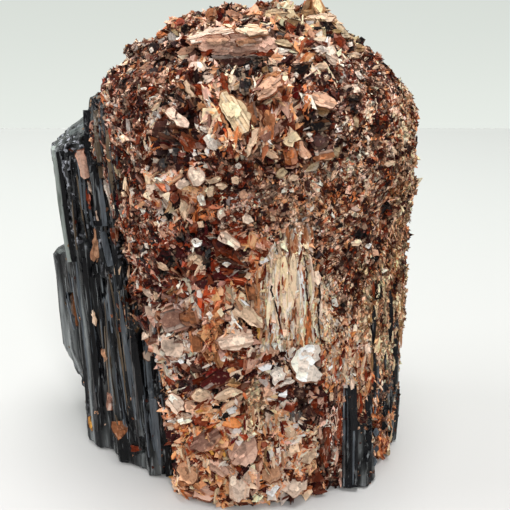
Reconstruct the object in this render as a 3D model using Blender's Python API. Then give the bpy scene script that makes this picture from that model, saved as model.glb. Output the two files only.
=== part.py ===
"""Black tourmaline with mica, a hand specimen 120 mm tall.

A bundle of upright black tourmaline crystals stands on its broken base, and a thick growth of mica
covers its front, its right side and its top. The two minerals are two solids: the crystals, fused
into one bundle, and the mica, a mass with books and blades of mica grown out of it.

Units are metres and +Z is up. The mica front faces -Y. Shapes are worked out in millimetres around
the growth axis of the main crystal. A bearing is an angle in degrees about that axis, from +X (the
right side) anticlockwise as seen from above, so 270 is the front and 180 the left side.
"""

import math
import random
from dataclasses import dataclass

import bmesh
import bpy
from mathutils import Matrix, Vector, noise

MM = 0.001
SEED = 23

# Driving dimensions in millimetres.
CRYSTAL_TOP = 97.5
MICA_RIDGE = 118.0
FRONT_BROW_DROP = 8.5
BACK_BROW_DROP = 12.0
RIDGE_AT = (2.0, 3.0)
FRONT_REACH = 29.0
BACK_REACH = 25.0
SIDE_REACH = 38.5
SHOULDER_DROP = 20.0
SHOULDER_POWER = 2.4
SEAT_GAP = 0.34
SHORTEST_EDGE = 0.04
RIB_SPACING = 3.3
RIB_DEPTH = 1.6

# The growth axis of the main crystal, measured from the middle of the whole specimen's box.
AXIS_AT = (7.5, 3.44)

# Radius of the main tourmaline crystal at each bearing: a rounded three-sided prism.
CRYSTAL_OUTLINE = (
    (0, 35.5), (15, 36.5), (30, 35.0), (45, 31.0), (60, 28.5), (75, 27.0), (90, 27.0), (105, 28.5),
    (120, 31.5), (135, 35.0), (148, 36.5), (160, 36.0), (175, 34.5), (190, 33.0), (205, 32.0),
    (220, 31.0), (235, 29.0), (250, 25.5), (265, 24.0), (280, 23.5), (295, 24.5), (310, 29.0),
    (325, 33.0), (340, 35.4),
)

# Radius of the mica's outer surface at each bearing, where the mica covers the crystal.
MICA_OUTLINE = (
    (0, 38.8), (15, 38.6), (30, 37.4), (45, 33.6), (60, 31.0), (90, 29.0), (120, 31.5), (150, 38.0),
    (178, 39.6), (192, 39.2), (206, 37.2), (222, 34.6), (235, 33.6), (247, 34.0), (260, 33.2),
    (275, 32.4), (290, 32.0), (303, 32.4), (315, 34.0), (327, 36.8), (340, 38.4),
)

# Bearing of the mica's edge on the left face and on the back, as (height, bearing).
LEFT_EDGE = ((0, 229), (30, 222), (65, 207), (94, 188), (102, 206))
BACK_EDGE = ((0, 22), (40, 30), (75, 40), (97, 52))
EDGE_FADE = 7.0
BARE_INSET = 4.0
LID_INSET = 2.2

# How far the head of the mica leans over to the left, as (height, shift), at its left and right.
LEFT_LEAN = ((80, 0.0), (95, 4.4), (104, 6.2), (112, 4.6), (118, 4.2))
RIGHT_LEAN = ((97, 0.0), (107, 4.8), (118, 4.0))
LEAN_REACH = 36.0

# Hollows and swells in the mica, as (bearing, height, reach, depth): a positive depth goes inwards.
HOLLOWS = (
    (268, 107, 4.0, 4.0),
    (289, 107, 3.4, 2.6),
    (236, 96, 6.0, 3.0),
    (233, 88, 3.0, 1.4),
    (240, 65, 4.0, 1.4),
    (257, 66, 3.6, 1.2),
    (252, 37.5, 3.4, 1.6),
    (262, 29.3, 2.2, 2.6),
    (243, 13, 4.5, 1.8),
    (286, 24, 5.0, 1.6),
    (303, 88, 5.0, 1.4),
    (322, 60, 5.0, 1.4),
    (226, 66, 4.0, -1.2),
    (274, 92, 7.0, -1.0),
    (258, 48, 7.0, -0.8),
    (340, 28, 14.0, -0.7),
)

MICA_STEPS = 50
HIDDEN_STEPS = 7
SIDE_ROWS = 24
TOP_ROWS = 7
BROW_ROLL = 12.0
BROW_INSET = 3.6
FACET_SIZE = 6.4
FACET_HEIGHT = 4.6
GRIT_SIZE = 3.2
GRIT_HEIGHT = 0.9
JITTER = 0.55
LOOSE_BOOKS = 20
LOOSE_TOP_BOOKS = 9


@dataclass(frozen=True)
class Column:
    """One upright tourmaline crystal: its middle, half widths, ribs and a ring for each height.

    A ring is (height, share of the half widths, shift along X, shift along Y)."""

    name: str
    middle: tuple
    half: tuple
    ribs: int
    rings: tuple
    top_tilt: tuple = (0.0, 0.0)
    turn: float = 0.0


COLUMNS = (
    Column("left_front", (-42.6, -1.6), (8.0, 9.2), 10,
           ((0.5, 0.94, 2.0, 0.2), (40, 1.0, 3.4, 0), (91.2, 0.98, 0.6, 0)), (0.58, 0.1), 12),
    Column("left_rear", (-48.0, 9.5), (7.6, 7.6), 8,
           ((4, 0.50, 3.6, -2.5), (25, 0.97, 0, 0), (55, 0.95, 0, 0)), (0.25, -0.1), 5),
    Column("left_seam", (-34.2, -10.6), (5.2, 5.0), 7,
           ((0.7, 1.05, 1.2, -1.5), (45, 1.0, 0, 0), (90, 0.94, -0.6, 2.2), (100.5, 0.62, -0.8, 3.4)),
           (0.3, 0.1), 0),
    Column("left_step_high", (-38.4, -9.8), (2.8, 2.6), 4,
           ((0.9, 1.0, 0.8, 0), (40, 1.0, 0, 0), (71, 0.9, 0, 0.5)), (0.4, 0.5), 20),
    Column("left_step_mid", (-30.6, -15.4), (2.8, 2.6), 4,
           ((0.6, 1.1, 0.6, -0.4), (20, 1.0, 0, 0), (43, 0.8, 0, 0.6)), (-0.3, 0.6), 50),
    Column("left_step_low", (-26.6, -19.0), (2.6, 2.4), 4,
           ((0.5, 1.1, 0.4, -0.4), (12, 1.0, 0, 0), (24, 0.8, -0.4, 0.6)), (0.5, 0.4), 10),
    Column("back_left", (-29.0, 20.0), (9.5, 9.5), 11,
           ((0.8, 1.0, 0, 0), (38, 0.96, 0, 0), (71, 0.93, 0, 0)), (-0.1, -0.25), 25),
    Column("back_sliver", (-18.6, 24.6), (3.6, 3.4), 5,
           ((1.6, 1.0, 0, 0), (30, 1.0, 0, 0), (52, 0.86, 0, 0)), (0.3, -0.5), 15),
    Column("back_middle", (-9.0, 22.5), (8.4, 7.6), 10,
           ((1.0, 0.95, 0, 0), (50, 1.0, 0, 0), (88, 0.95, 0, 0)), (0.12, -0.2), 0),
    Column("back_right", (9.0, 22.5), (7.2, 7.4), 9,
           ((1.4, 1.0, 0, 0), (30, 1.0, 0, 0), (58, 0.92, 0, 0)), (-0.2, -0.3), 10),
    Column("right_rear", (25.5, 17.0), (7.4, 7.0), 9,
           ((0.6, 0.94, 0, 0), (42, 1.0, 0, 0), (79, 0.95, 0, 0)), (0.2, -0.2), 30),
    Column("front_rods", (26.2, -20.4), (5.0, 4.2), 6,
           ((0.4, 1.1, 0.4, -1.6), (10, 1.0, 0, -0.3), (21, 0.92, -0.2, 0.8)), (-0.8, 0.2), 30),
    Column("right_rod", (34.8, -12.0), (3.4, 3.4), 5,
           ((11, 0.7, -1.5, 0.8), (24, 1.0, 0, 0), (44, 0.85, -0.6, 0.4)), (-0.2, 0.3), 0),
    Column("right_splinter", (36.8, -5.0), (3.4, 3.4), 5,
           ((0.6, 1.0, 0, 0), (15, 1.0, 0, 0), (27, 0.8, -0.8, 0)), (-0.3, 0.2), 15),
)


@dataclass(frozen=True)
class Book:
    """A book or blade of mica. It sits at a bearing and height on the side, or, where on_top is set,
    at a plan position on the top. Size is width, length and thickness; turn is in the plane of the
    surface; lean lifts the upper edge off the surface, and roll lifts the right edge."""

    name: str
    place: tuple
    size: tuple
    turn: float = 0.0
    lean: float = 0.0
    roll: float = 0.0
    sides: int = 6
    sink: float = 0.2
    on_top: bool = False


BOOKS = (
    Book("crest_book", (-4.5, -15.0), (23, 11, 6), 10, -6, 0, 9, 0.42, True),
    Book("crest_book_leaf", (-0.5, -9.5), (17, 7, 6), 14, -12, 0, 8, 0.5, True),
    Book("crest_sheets", (10.5, -19.0), (13, 5.0, 5), -8, -42, 0, 7, 0.4, True),
    Book("crest_shard", (15.5, -18.0), (6.5, 4.4, 4), 18, -38, 10, 5, 0.4, True),
    Book("green_sheet", (4.5, -0.5), (9, 5.5, 4.5), -6, -26, 0, 7, 0.4, True),
    Book("green_lump_front", (17.5, -7.0), (8, 7, 5), 25, 20, 12, 6, 0.35, True),
    Book("green_lump_back", (14.0, 1.5), (8, 6, 5), -20, -20, 8, 7, 0.35, True),
    Book("grain_mound", (-13.5, -2.5), (13, 9, 5), 8, 6, -8, 8, 0.28, True),
    Book("left_crest", (-24.0, -3.0), (9, 7, 4), 30, 8, -16, 7, 0.3, True),
    Book("right_crest", (25.5, -8.0), (8, 6, 4), -30, 10, 14, 6, 0.3, True),
    Book("back_crest", (-6.0, 13.0), (12, 8, 4), 0, -12, 6, 7, 0.3, True),
    Book("back_crest_right", (16.0, 12.0), (9, 7, 4), 40, -10, 10, 6, 0.3, True),
    Book("brow_plate", (246, 106.5), (5.4, 6.4, 3), 10, 22, -6, 6, 0.5),
    Book("long_blade", (262.5, 99.5), (7.0, 15.5, 3.4), 7, -13, 4, 6, 0.6),
    Book("blade_beside", (256.5, 101), (2.6, 13, 4), 14, 0, 32, 5, 0.5),
    Book("cream_blade", (274, 105.5), (7.0, 8.0, 3.4), -42, -20, 10, 6, 0.6),
    Book("cream_blade_low", (275, 97.5), (4.6, 9.5, 3.2), -16, -8, -18, 5, 0.5),
    Book("amber_blade", (282, 105.5), (3.0, 8.0, 4.2), -4, 0, 36, 5, 0.5),
    Book("amber_blade_right", (290, 102.5), (2.8, 8.0, 4.2), 6, 0, -34, 5, 0.5),
    Book("pink_blade", (297, 102.5), (6.6, 4.2, 3), -24, -18, 10, 6, 0.5),
    Book("side_blade", (306, 97), (4.4, 6.5, 3), 30, 16, -14, 5, 0.4),
    Book("recess_plate", (241, 99.5), (4.6, 6.0, 2.4), 42, -18, -22, 5, 0.9),
    Book("recess_rim_left", (224.5, 94.5), (3.0, 12, 4), -6, 0, -32, 5, 0.45),
    Book("recess_rim_low", (235.5, 85.0), (10, 3.0, 4), -30, 30, 0, 6, 0.45),
    Book("recess_rim_top", (238, 105), (9, 3.0, 4), 26, -28, 0, 6, 0.4),
    Book("white_plate_rim", (229, 81.5), (5.0, 5.0, 2.6), -30, 14, 0, 6, 0.5),
    Book("white_plates_mid", (258, 92.6), (5.2, 5.0, 3.0), 8, 17, 0, 6, 0.45),
    Book("white_plates_left", (247, 89), (7.4, 4.0, 2.6), 24, 8, -8, 6, 0.5),
    Book("striped_plate", (259, 74.3), (3.6, 5.6, 2.8), 38, 12, 8, 5, 0.5),
    Book("small_plate", (249, 74), (3.2, 3.4, 2.4), 10, -10, 0, 5, 0.5),
    Book("fan_left", (234, 67), (8.0, 3.2, 3), 32, 12, -20, 5, 0.4),
    Book("fan_right", (246, 67), (8.0, 3.2, 3), -34, 12, 20, 5, 0.4),
    Book("fan_low", (240, 59), (3.4, 7.5, 3), 4, -22, 0, 5, 0.4),
    Book("fan_far_right", (262, 64), (7.0, 3.0, 3), 28, 10, 18, 5, 0.4),
    Book("flute_1", (276.5, 56.5), (3.4, 20, 6.0), 2, 0, -14, 6, 0.27),
    Book("flute_2", (280.5, 60.5), (3.4, 27, 6.0), 0, 0, 14, 6, 0.27),
    Book("flute_3", (285.5, 61.5), (3.6, 28, 6.0), -1, 0, -12, 6, 0.27),
    Book("flute_4", (290.5, 61.0), (3.4, 27, 6.0), 0, 0, 14, 6, 0.27),
    Book("flute_5", (295.5, 60.0), (3.2, 22, 6.0), 2, 0, -10, 6, 0.27),
    Book("wavy_plate", (295, 39.8), (6.4, 9.5, 2.8), 10, 10, 0, 7, 0.5),
    Book("white_square", (280, 38.6), (4.8, 6.2, 2.6), -12, 14, 6, 5, 0.5),
    Book("cream_patch", (263, 51.6), (6.6, 5.2, 2.6), 8, 10, -6, 6, 0.5),
    Book("edge_plate", (222.5, 49.2), (4.4, 4.2, 2.4), 20, 12, 0, 5, 0.5),
    Book("white_slant", (235, 46.7), (6.6, 6.6, 2.6), 45, 8, -8, 6, 0.5),
    Book("amber_strip", (253, 51.5), (3.2, 11, 3), 4, 0, 24, 5, 0.45),
    Book("slant_blade_high", (249, 31), (9.5, 3.0, 3.2), 46, 16, 0, 5, 0.45),
    Book("slant_blade_mid", (253, 27), (9.5, 3.0, 3.2), 40, -18, 0, 5, 0.45),
    Book("slant_blade_low", (258, 21.5), (7.0, 3.0, 3.2), 50, 18, 0, 5, 0.45),
    Book("white_low", (234, 27.7), (4.8, 4.8, 2.6), 15, 10, -8, 6, 0.5),
    Book("purple_facet", (246.5, 20), (6.0, 6.0, 3), 5, 22, -10, 6, 0.45),
    Book("pink_facet", (263.5, 20), (5.4, 8.0, 3), -12, 14, 10, 6, 0.45),
    Book("hexagon", (264, 7.4), (5.0, 7.4, 2.8), 6, 8, 0, 6, 0.5),
    Book("green_plate", (288, 7.2), (6.0, 5.4, 2.8), -10, 12, 8, 6, 0.5),
    Book("low_corner", (238, 6.8), (6.0, 5.4, 2.8), 24, -10, -8, 6, 0.5),
    Book("right_ridge_high", (309, 44), (3.0, 22, 3.4), 2, 0, 20, 6, 0.4),
    Book("right_ridge_low", (303, 18), (3.0, 20, 3.4), -2, 0, -18, 6, 0.4),
    Book("right_ridge_side", (337, 55), (3.4, 20, 3.4), 3, 0, 18, 6, 0.35),
)

# Pieces broken out of the crystals, as middle, size and turn about Z and X.
CHIPS = (
    ((-50.8, -3.0, 71), (5, 6, 9), 30, 25),
    ((-49.6, -7.6, 60), (5, 5, 7), 50, -20),
    ((-43.0, -12.4, 79), (7, 4, 6), 10, 30),
    ((-39.0, -13.6, 52), (5, 4, 8), 60, 15),
    ((-50.0, 2.0, 40), (4, 6, 6), 20, -30),
    ((-36.0, 27.0, 66), (8, 6, 10), 40, 35),
    ((-15.0, 31.0, 34), (7, 5, 9), 15, 25),
    ((-9.0, 31.4, 84), (10, 6, 10), 5, 40),
    ((12.0, 31.0, 20), (6, 6, 8), 30, -30),
    ((30.0, 24.8, 62), (6, 6, 9), 50, 30),
    ((-31.0, -19.0, 8), (5, 4, 6), 35, 20),
)


def smooth_reading(anchors, position, period=None):
    """The value at a position on a smooth curve through (position, value) anchors."""
    count = len(anchors)
    if period:
        position %= period
        after = next((i for i, (at, _) in enumerate(anchors) if at > position), 0)
    else:
        position = min(max(position, anchors[0][0]), anchors[-1][0])
        after = next((i for i, (at, _) in enumerate(anchors) if at > position), count - 1)
    before = (after - 1) % count
    start, low = anchors[before]
    end, high = anchors[after]
    span = (end - start) % period if period else end - start
    share = ((position - start) % period if period else position - start) / span
    share = share * share * (3 - 2 * share) * 0.5 + share * 0.5
    return low + (high - low) * share


def eased(value):
    """A smooth step from 0 to 1."""
    value = min(max(value, 0.0), 1.0)
    return value * value * (3 - 2 * value)


def polar(radius, bearing):
    """Plan position at a radius and a bearing in degrees."""
    angle = math.radians(bearing)
    return radius * math.cos(angle), radius * math.sin(angle)


def crystal_radius(bearing):
    return smooth_reading(CRYSTAL_OUTLINE, bearing, 360)


def top_height(x, y):
    """Height of the mica's top surface: an arch from side to side, lower at the front and back."""
    across = abs(x - RIDGE_AT[0]) / SIDE_REACH
    along = y - RIDGE_AT[1]
    reach, drop = (FRONT_REACH, FRONT_BROW_DROP) if along < 0 else (BACK_REACH, BACK_BROW_DROP)
    notch = 2.2 * math.exp(-(((x + 1.0) / 2.6) ** 2)) * eased((y + 8) / 12)
    return MICA_RIDGE - SHOULDER_DROP * across**SHOULDER_POWER - drop * (abs(along) / reach) ** 1.7 - notch


def mica_cover(bearing, height):
    """1 where mica covers the crystal at this bearing and height, falling to 0 past its edges."""
    left = smooth_reading(LEFT_EDGE, height)
    back = smooth_reading(BACK_EDGE, height) + 360
    turned = (bearing - 120) % 360 + 120
    return eased((turned - left) / EDGE_FADE + 0.5) * eased((back - turned) / EDGE_FADE + 0.5)


def mica_radius(bearing, height):
    """Radius of the mica's outer surface. Past its edges it lies inside the crystal."""
    bare = crystal_radius(bearing) - (BARE_INSET if height < CRYSTAL_TOP - 3 else LID_INSET)
    full = smooth_reading(MICA_OUTLINE, bearing, 360)
    return bare + (full - bare) * mica_cover(bearing, height)


def hollow_depth(bearing, height):
    """How far the named hollows pull the surface in at a place on the side."""
    total = 0.0
    for at, level, reach, depth in HOLLOWS:
        around = math.radians((bearing - at + 180) % 360 - 180) * 33
        total += depth * math.exp(-(around**2 + (height - level) ** 2) / reach**2)
    return total


def relief(point):
    """Height of the mica's own roughness at a point: tilted facets with ledges between them, and grit."""
    spot = point / FACET_SIZE + Vector((3.1, 7.7, 1.3))
    centre = noise.voronoi(spot)[1][0]
    tilt = noise.noise_vector(centre * 5.3 + Vector((0.4, 2.2, 8.1)))
    facet = max(-0.28, min(0.28, tilt.dot(spot - centre)))
    grit = noise.noise(point / GRIT_SIZE + Vector((9.2, 0.4, 5.8)))
    return FACET_HEIGHT * facet + GRIT_HEIGHT * grit


def brow_height(bearing):
    """Height at which the side wall has turned over into the top."""
    return top_height(*polar(mica_radius(bearing, CRYSTAL_TOP), bearing)) - 1.2


def brow_inset(bearing, height):
    """How far the side wall leans in below the top, most of all at the front."""
    share = (height - brow_height(bearing) + BROW_ROLL) / BROW_ROLL
    forward = 0.3 + 0.7 * max(0.0, -math.sin(math.radians(bearing)))
    return BROW_INSET * forward * max(0.0, share) ** 2


def leaned(x, y, height, share=1.0):
    """A point of the mica moved to the left as far as its head leans there."""
    shift = smooth_reading(LEFT_LEAN if x < 0 else RIGHT_LEAN, height)
    return Vector((x - shift * share * min(1.2, (x / LEAN_REACH) ** 2), y, height))


def side_point(bearing, height):
    """A point of the mica's side wall."""
    radius = mica_radius(bearing, height) - hollow_depth(bearing, height) - brow_inset(bearing, height)
    return leaned(*polar(radius, bearing), height, mica_cover(bearing, height))


def top_point(x, y):
    """A point of the mica's top surface."""
    return leaned(x, y, top_height(x, y))


def mica_bearings():
    """Bearings of the mass's upright lines, close together where the mica shows."""
    first, last = 182.0, 418.0
    shown = [first + (last - first) * i / MICA_STEPS for i in range(MICA_STEPS)]
    hidden = [last + (first + 360 - last) * i / HIDDEN_STEPS for i in range(HIDDEN_STEPS)]
    return [bearing % 360 for bearing in shown + hidden]


def mica_rows():
    """The rings of points of the mica mass, from its foot to its crown."""
    rng = random.Random(SEED + 2)
    bearings = mica_bearings()
    rows = []
    for k in range(SIDE_ROWS + 1):
        row = []
        for bearing in bearings:
            inner = 0 < k < SIDE_ROWS
            place = bearing + (rng.uniform(-JITTER, JITTER) * 2.4 if inner else 0.0)
            level = k + (rng.uniform(-JITTER, JITTER) * 0.6 if inner else 0.0)
            point = side_point(place, brow_height(place) * level / SIDE_ROWS)
            out = Vector((*polar(1.0, place), 0.0))
            row.append(point + out * relief(point) * mica_cover(place, point.z))
        rows.append(row)
    for k in range(1, TOP_ROWS + 1):
        share = 1 - (k / (TOP_ROWS + 0.6)) ** 1.1
        row = []
        for bearing in bearings:
            edge = mica_radius(bearing, CRYSTAL_TOP) - brow_inset(bearing, brow_height(bearing))
            x, y = polar(edge * share, bearing)
            point = top_point(x, y)
            point.z += relief(point)
            row.append(point)
        rows.append(row)
    return rows


def placed(mesh, name, colour, roughness):
    """Puts a mesh in the scene as an object with a plain finish of its own."""
    finish = bpy.data.materials.new(name + "_finish")
    finish.use_nodes = True
    shader = finish.node_tree.nodes["Principled BSDF"]
    shader.inputs["Base Color"].default_value = (*colour, 1)
    shader.inputs["Roughness"].default_value = roughness
    shader.inputs["Metallic"].default_value = 0.0
    mesh.materials.append(finish)
    solid = bpy.data.objects.new(name, mesh)
    bpy.context.scene.collection.objects.link(solid)
    return solid


def helper(mesh, name, group):
    """Puts a mesh in the scene as a guide for a Boolean, which no render shows."""
    guide = bpy.data.objects.new(name, mesh)
    guide.hide_render = True
    guide.display_type = "WIRE"
    group.objects.link(guide)
    return guide


def mesh_from(rings, name, crown=None):
    """A closed mesh through rings of points, bottom to top, in metres around the box's middle."""
    shift = Vector((AXIS_AT[0], AXIS_AT[1], 0))
    build = bmesh.new()
    loops = [[build.verts.new((point + shift) * MM) for point in ring] for ring in rings]
    for low, high in zip(loops, loops[1:]):
        for i in range(len(low)):
            j = (i + 1) % len(low)
            build.faces.new((low[i], low[j], high[j], high[i]))
    build.faces.new(reversed(loops[0]))
    if crown is None:
        build.faces.new(loops[-1])
    else:
        peak = build.verts.new((crown + shift) * MM)
        for i in range(len(loops[-1])):
            build.faces.new((loops[-1][i], loops[-1][(i + 1) % len(loops[-1])], peak))
    bmesh.ops.recalc_face_normals(build, faces=build.faces)
    mesh = bpy.data.meshes.new(name)
    build.to_mesh(mesh)
    build.free()
    return mesh


def main_crystal_rings(grow=0.0):
    """Rings of the main tourmaline crystal, ribbed wherever it can be seen."""
    rng = random.Random(SEED)
    bearings = []
    bearing = 18.0
    while bearing < 240:
        bearings.append((bearing, 1))
        bearing += math.degrees(RIB_SPACING * rng.uniform(0.7, 1.3) / crystal_radius(bearing)) / 2
        bearings.append((bearing, -1))
        bearing += math.degrees(RIB_SPACING * rng.uniform(0.7, 1.3) / crystal_radius(bearing)) / 2
    while bearing < 376:
        bearings.append((bearing, 0))
        bearing += 10
    depths = [rng.uniform(0.35, 1.0) * RIB_DEPTH for _ in bearings]
    levels = [0.0, 48.0, CRYSTAL_TOP]
    if grow:
        levels = [-6.0, 48.0, CRYSTAL_TOP + grow]
    rings = []
    for height in levels:
        ring = []
        for (at, side), depth in zip(bearings, depths):
            swing = 0.35 * noise.noise(Vector((at * 0.21, height * 0.05, 2.0)))
            radius = crystal_radius(at) + side * depth / 2 + swing + grow
            ring.append(Vector((*polar(radius, at), height)))
        rings.append(ring)
    return rings


def column_rings(column, grow=0.0):
    """Rings of one of the smaller crystals, its outline a rounded polygon with ribs."""
    rng = random.Random(column.name)
    corners = column.ribs * 2
    depths = [rng.uniform(0.25, 0.8) * (1 if i % 2 else -0.4) for i in range(corners)]
    rings = []
    for place, (height, share, shift_x, shift_y) in enumerate(column.rings):
        first = place == 0
        last = place == len(column.rings) - 1
        ring = []
        for i, depth in enumerate(depths):
            angle = math.radians(column.turn) + 2 * math.pi * i / corners
            side_x = (column.half[0] * share + depth + grow) * math.cos(angle)
            side_y = (column.half[1] * share + depth + grow) * math.sin(angle)
            level = height
            if last:
                level += side_x * column.top_tilt[0] + side_y * column.top_tilt[1] + grow
            if first and height < 2:
                level = -6.0 if grow else height
            elif first:
                level -= grow
            ring.append(Vector((column.middle[0] + side_x + shift_x,
                                column.middle[1] + side_y + shift_y, level)))
        rings.append(ring)
    return rings


def side_seat(bearing, height):
    """A frame on the side wall: X along it to the right, Y up it and Z straight out."""
    origin = side_point(bearing, height)
    along = (side_point(bearing + 3, height) - side_point(bearing - 3, height)).normalized()
    up = (side_point(bearing, height + 2) - side_point(bearing, height - 2)).normalized()
    return seat_matrix(origin, along, up)


def top_seat(x, y):
    """A frame on the top: X to the right, Y to the back and Z up out of it."""
    origin = top_point(x, y)
    along = (top_point(x + 1, y) - origin).normalized()
    back = (top_point(x, y + 1) - origin).normalized()
    return seat_matrix(origin, along, back)


def seat_matrix(origin, along, up):
    out = along.cross(up).normalized()
    up = out.cross(along).normalized()
    turn = Matrix((along, up, out)).transposed()
    return Matrix.Translation(origin) @ turn.to_4x4()


def book_rings(book):
    """The lower and upper outline of a book of mica: an uneven polygon with sloping sides."""
    rng = random.Random(book.name)
    seat = top_seat(*book.place) if book.on_top else side_seat(*book.place)
    width, length, thickness = book.size
    pose = (
        Matrix.Rotation(math.radians(book.turn), 4, "Z")
        @ Matrix.Rotation(math.radians(book.lean), 4, "X")
        @ Matrix.Rotation(math.radians(-book.roll), 4, "Y")
    )
    outline = []
    for i in range(book.sides):
        angle = 2 * math.pi * (i + rng.uniform(-0.25, 0.25)) / book.sides
        reach = rng.uniform(0.85, 1.08)
        outline.append((width / 2 * reach * math.cos(angle), length / 2 * reach * math.sin(angle)))
    low = -thickness * (1 - book.sink) if book.sink < 1 else -thickness
    high = thickness * book.sink
    rings = []
    for level, share in ((low, 0.96), (high, 1.0)):
        rings.append([seat @ pose @ Vector((x * share, y * share, level)) for x, y in outline])
    return rings


def beside_column(bearing, height):
    """Whether a place on the side wall is so near a smaller crystal that a book would lie over it."""
    spot = side_point(bearing, height)
    for column in COLUMNS:
        x, y = spot.x - column.middle[0], spot.y - column.middle[1]
        if math.hypot(x, y) < max(column.half) + 4.5 and height < column.rings[-1][0] + 6:
            return True
    return False


def loose_book(name, place, size, rng, on_top=False):
    """A book of mica of about this size, turned and leaning at random."""
    lengthened = size * rng.uniform(1.0, 1.7)
    thickness = rng.uniform(1.8, 2.8) + (1.2 if on_top else 0.0)
    turn = rng.uniform(-80, 80)
    lean = rng.uniform(-35, 35)
    roll = rng.uniform(-30, 30)
    sides = rng.choice((5, 6, 6, 7))
    return Book(name, place, (size, lengthened, thickness), turn, lean, roll, sides, 0.35, on_top)


def loose_books(count, top_count):
    """Smaller books scattered over the mica front and right side, then over its top."""
    rng = random.Random(SEED + 1)
    books = []
    while len(books) < count:
        bearing = rng.uniform(200, 388)
        height = rng.uniform(5, 100)
        if mica_cover(bearing - 12, height) < 1 or mica_cover(bearing + 12, height) < 1:
            continue
        if beside_column(bearing, height):
            continue
        size = rng.uniform(2.8, 5.4)
        books.append(loose_book(f"loose_book_{len(books)}", (bearing, height), size, rng))
    while len(books) < count + top_count:
        bearing = rng.uniform(0, 360)
        place = polar(mica_radius(bearing, CRYSTAL_TOP) * rng.uniform(0.3, 0.86), bearing)
        size = rng.uniform(3.6, 6.4)
        books.append(loose_book(f"loose_book_{len(books)}", place, size, rng, on_top=True))
    return books


def chip_rings(middle, size, turn, tip):
    """A rough block that breaks a piece out of the crystals."""
    rng = random.Random(f"chip at {middle}")
    pose = (
        Matrix.Translation(middle)
        @ Matrix.Rotation(math.radians(turn), 4, "Z")
        @ Matrix.Rotation(math.radians(tip), 4, "X")
    )
    rings = []
    for level in (-0.5, 0.5):
        ring = []
        for i in range(6):
            angle = math.pi * (i + rng.uniform(-0.2, 0.2)) / 3
            reach = rng.uniform(0.42, 0.56)
            x = size[0] * reach * math.cos(angle)
            y = size[1] * reach * math.sin(angle)
            ring.append(pose @ Vector((x, y, size[2] * (level + rng.uniform(-0.1, 0.1)))))
        rings.append(ring)
    return rings


def joined_by(solid, name, group, operation):
    """Adds a Boolean modifier that works on a whole group of guides."""
    modifier = solid.modifiers.new(name, "BOOLEAN")
    modifier.operation = operation
    modifier.operand_type = "COLLECTION"
    modifier.collection = group
    modifier.solver = "EXACT"


def keep_main_body(solid):
    """Applies a solid's Booleans and drops the crumbs and sealed pockets that they leave, also those
    that hang on by one edge."""
    graph = bpy.context.evaluated_depsgraph_get()
    mesh = bpy.data.meshes.new_from_object(solid.evaluated_get(graph))
    build = bmesh.new()
    build.from_mesh(mesh)
    bmesh.ops.dissolve_degenerate(build, dist=SHORTEST_EDGE * MM, edges=build.edges)
    bmesh.ops.triangulate(build, faces=build.faces)
    unseen = set(build.faces)
    bodies = []
    for start in build.faces:
        if start not in unseen:
            continue
        unseen.remove(start)
        body = [start]
        for face in body:
            for edge in face.edges:
                if len(edge.link_faces) != 2:
                    continue
                found = [other for other in edge.link_faces if other in unseen]
                unseen.difference_update(found)
                body.extend(found)
        bodies.append(body)
    bodies.sort(key=len)
    crumbs = [face for body in bodies[:-1] for face in body]
    bmesh.ops.delete(build, geom=crumbs, context="FACES")
    build.to_mesh(mesh)
    build.free()
    solid.modifiers.clear()
    solid.data = mesh


def new_group(name):
    group = bpy.data.collections.new(name)
    bpy.context.scene.collection.children.link(group)
    return group


def tourmaline_crystals():
    """The whole bundle of black crystals as one solid."""
    group = new_group("smaller_crystals")
    for column in COLUMNS:
        helper(mesh_from(column_rings(column), column.name), "crystal_" + column.name, group)
    mesh = mesh_from(main_crystal_rings(), "tourmaline_crystals")
    solid = placed(mesh, "tourmaline_crystals", (0.016, 0.018, 0.022), 0.32)
    joined_by(solid, "fused_crystals", group, "UNION")
    chips = new_group("broken_chips")
    for number, chip in enumerate(CHIPS):
        helper(mesh_from(chip_rings(*chip), f"chip_{number}"), f"chip_{number}", chips)
    joined_by(solid, "broken_edges", chips, "DIFFERENCE")
    keep_main_body(solid)


def mica_growth():
    """The mica as one solid, hollowed where the crystals stand in it."""
    books = new_group("mica_books")
    for book in (*BOOKS, *loose_books(LOOSE_BOOKS, LOOSE_TOP_BOOKS)):
        helper(mesh_from(book_rings(book), book.name), "mica_" + book.name, books)
    seats = new_group("crystal_seats")
    helper(mesh_from(main_crystal_rings(SEAT_GAP), "main_seat"), "seat_main", seats)
    for column in COLUMNS:
        helper(mesh_from(column_rings(column, SEAT_GAP), column.name), "seat_" + column.name, seats)
    rows = mica_rows()
    crown = sum(rows[-1], Vector()) / len(rows[-1])
    mesh = mesh_from(rows, "mica_growth", crown)
    solid = placed(mesh, "mica_growth", (0.30, 0.16, 0.10), 0.55)
    joined_by(solid, "grown_books", books, "UNION")
    joined_by(solid, "crystal_hollow", seats, "DIFFERENCE")
    keep_main_body(solid)


def main():
    for thing in list(bpy.data.objects):
        bpy.data.objects.remove(thing)
    noise.seed_set(SEED)
    tourmaline_crystals()
    mica_growth()


if __name__ == "__main__":
    main()
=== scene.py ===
"""Full look of a mineral hand specimen: black ribbed crystals half buried in coarse, flaky mica.

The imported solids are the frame. Every visible piece is built here on them: the ribbed and pitted
crystals, the rough bed of the mica, tens of thousands of small grains on it, books of stacked
sheets, and the large plates, blades, fans and fibres that give the front its character.

Lengths are in metres unless a name ends in _mm. Places on the front are given as columns and rows
of a picture 510 wide and 510 high, seen from one fixed point in front of the specimen, because
that is how its features were measured.
"""

import logging
import math
from collections.abc import Iterable, Sequence
from dataclasses import dataclass, field
from enum import Enum

import bpy
import numpy as np
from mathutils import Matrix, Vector
from mathutils.bvhtree import BVHTree
from mathutils.kdtree import KDTree


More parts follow.
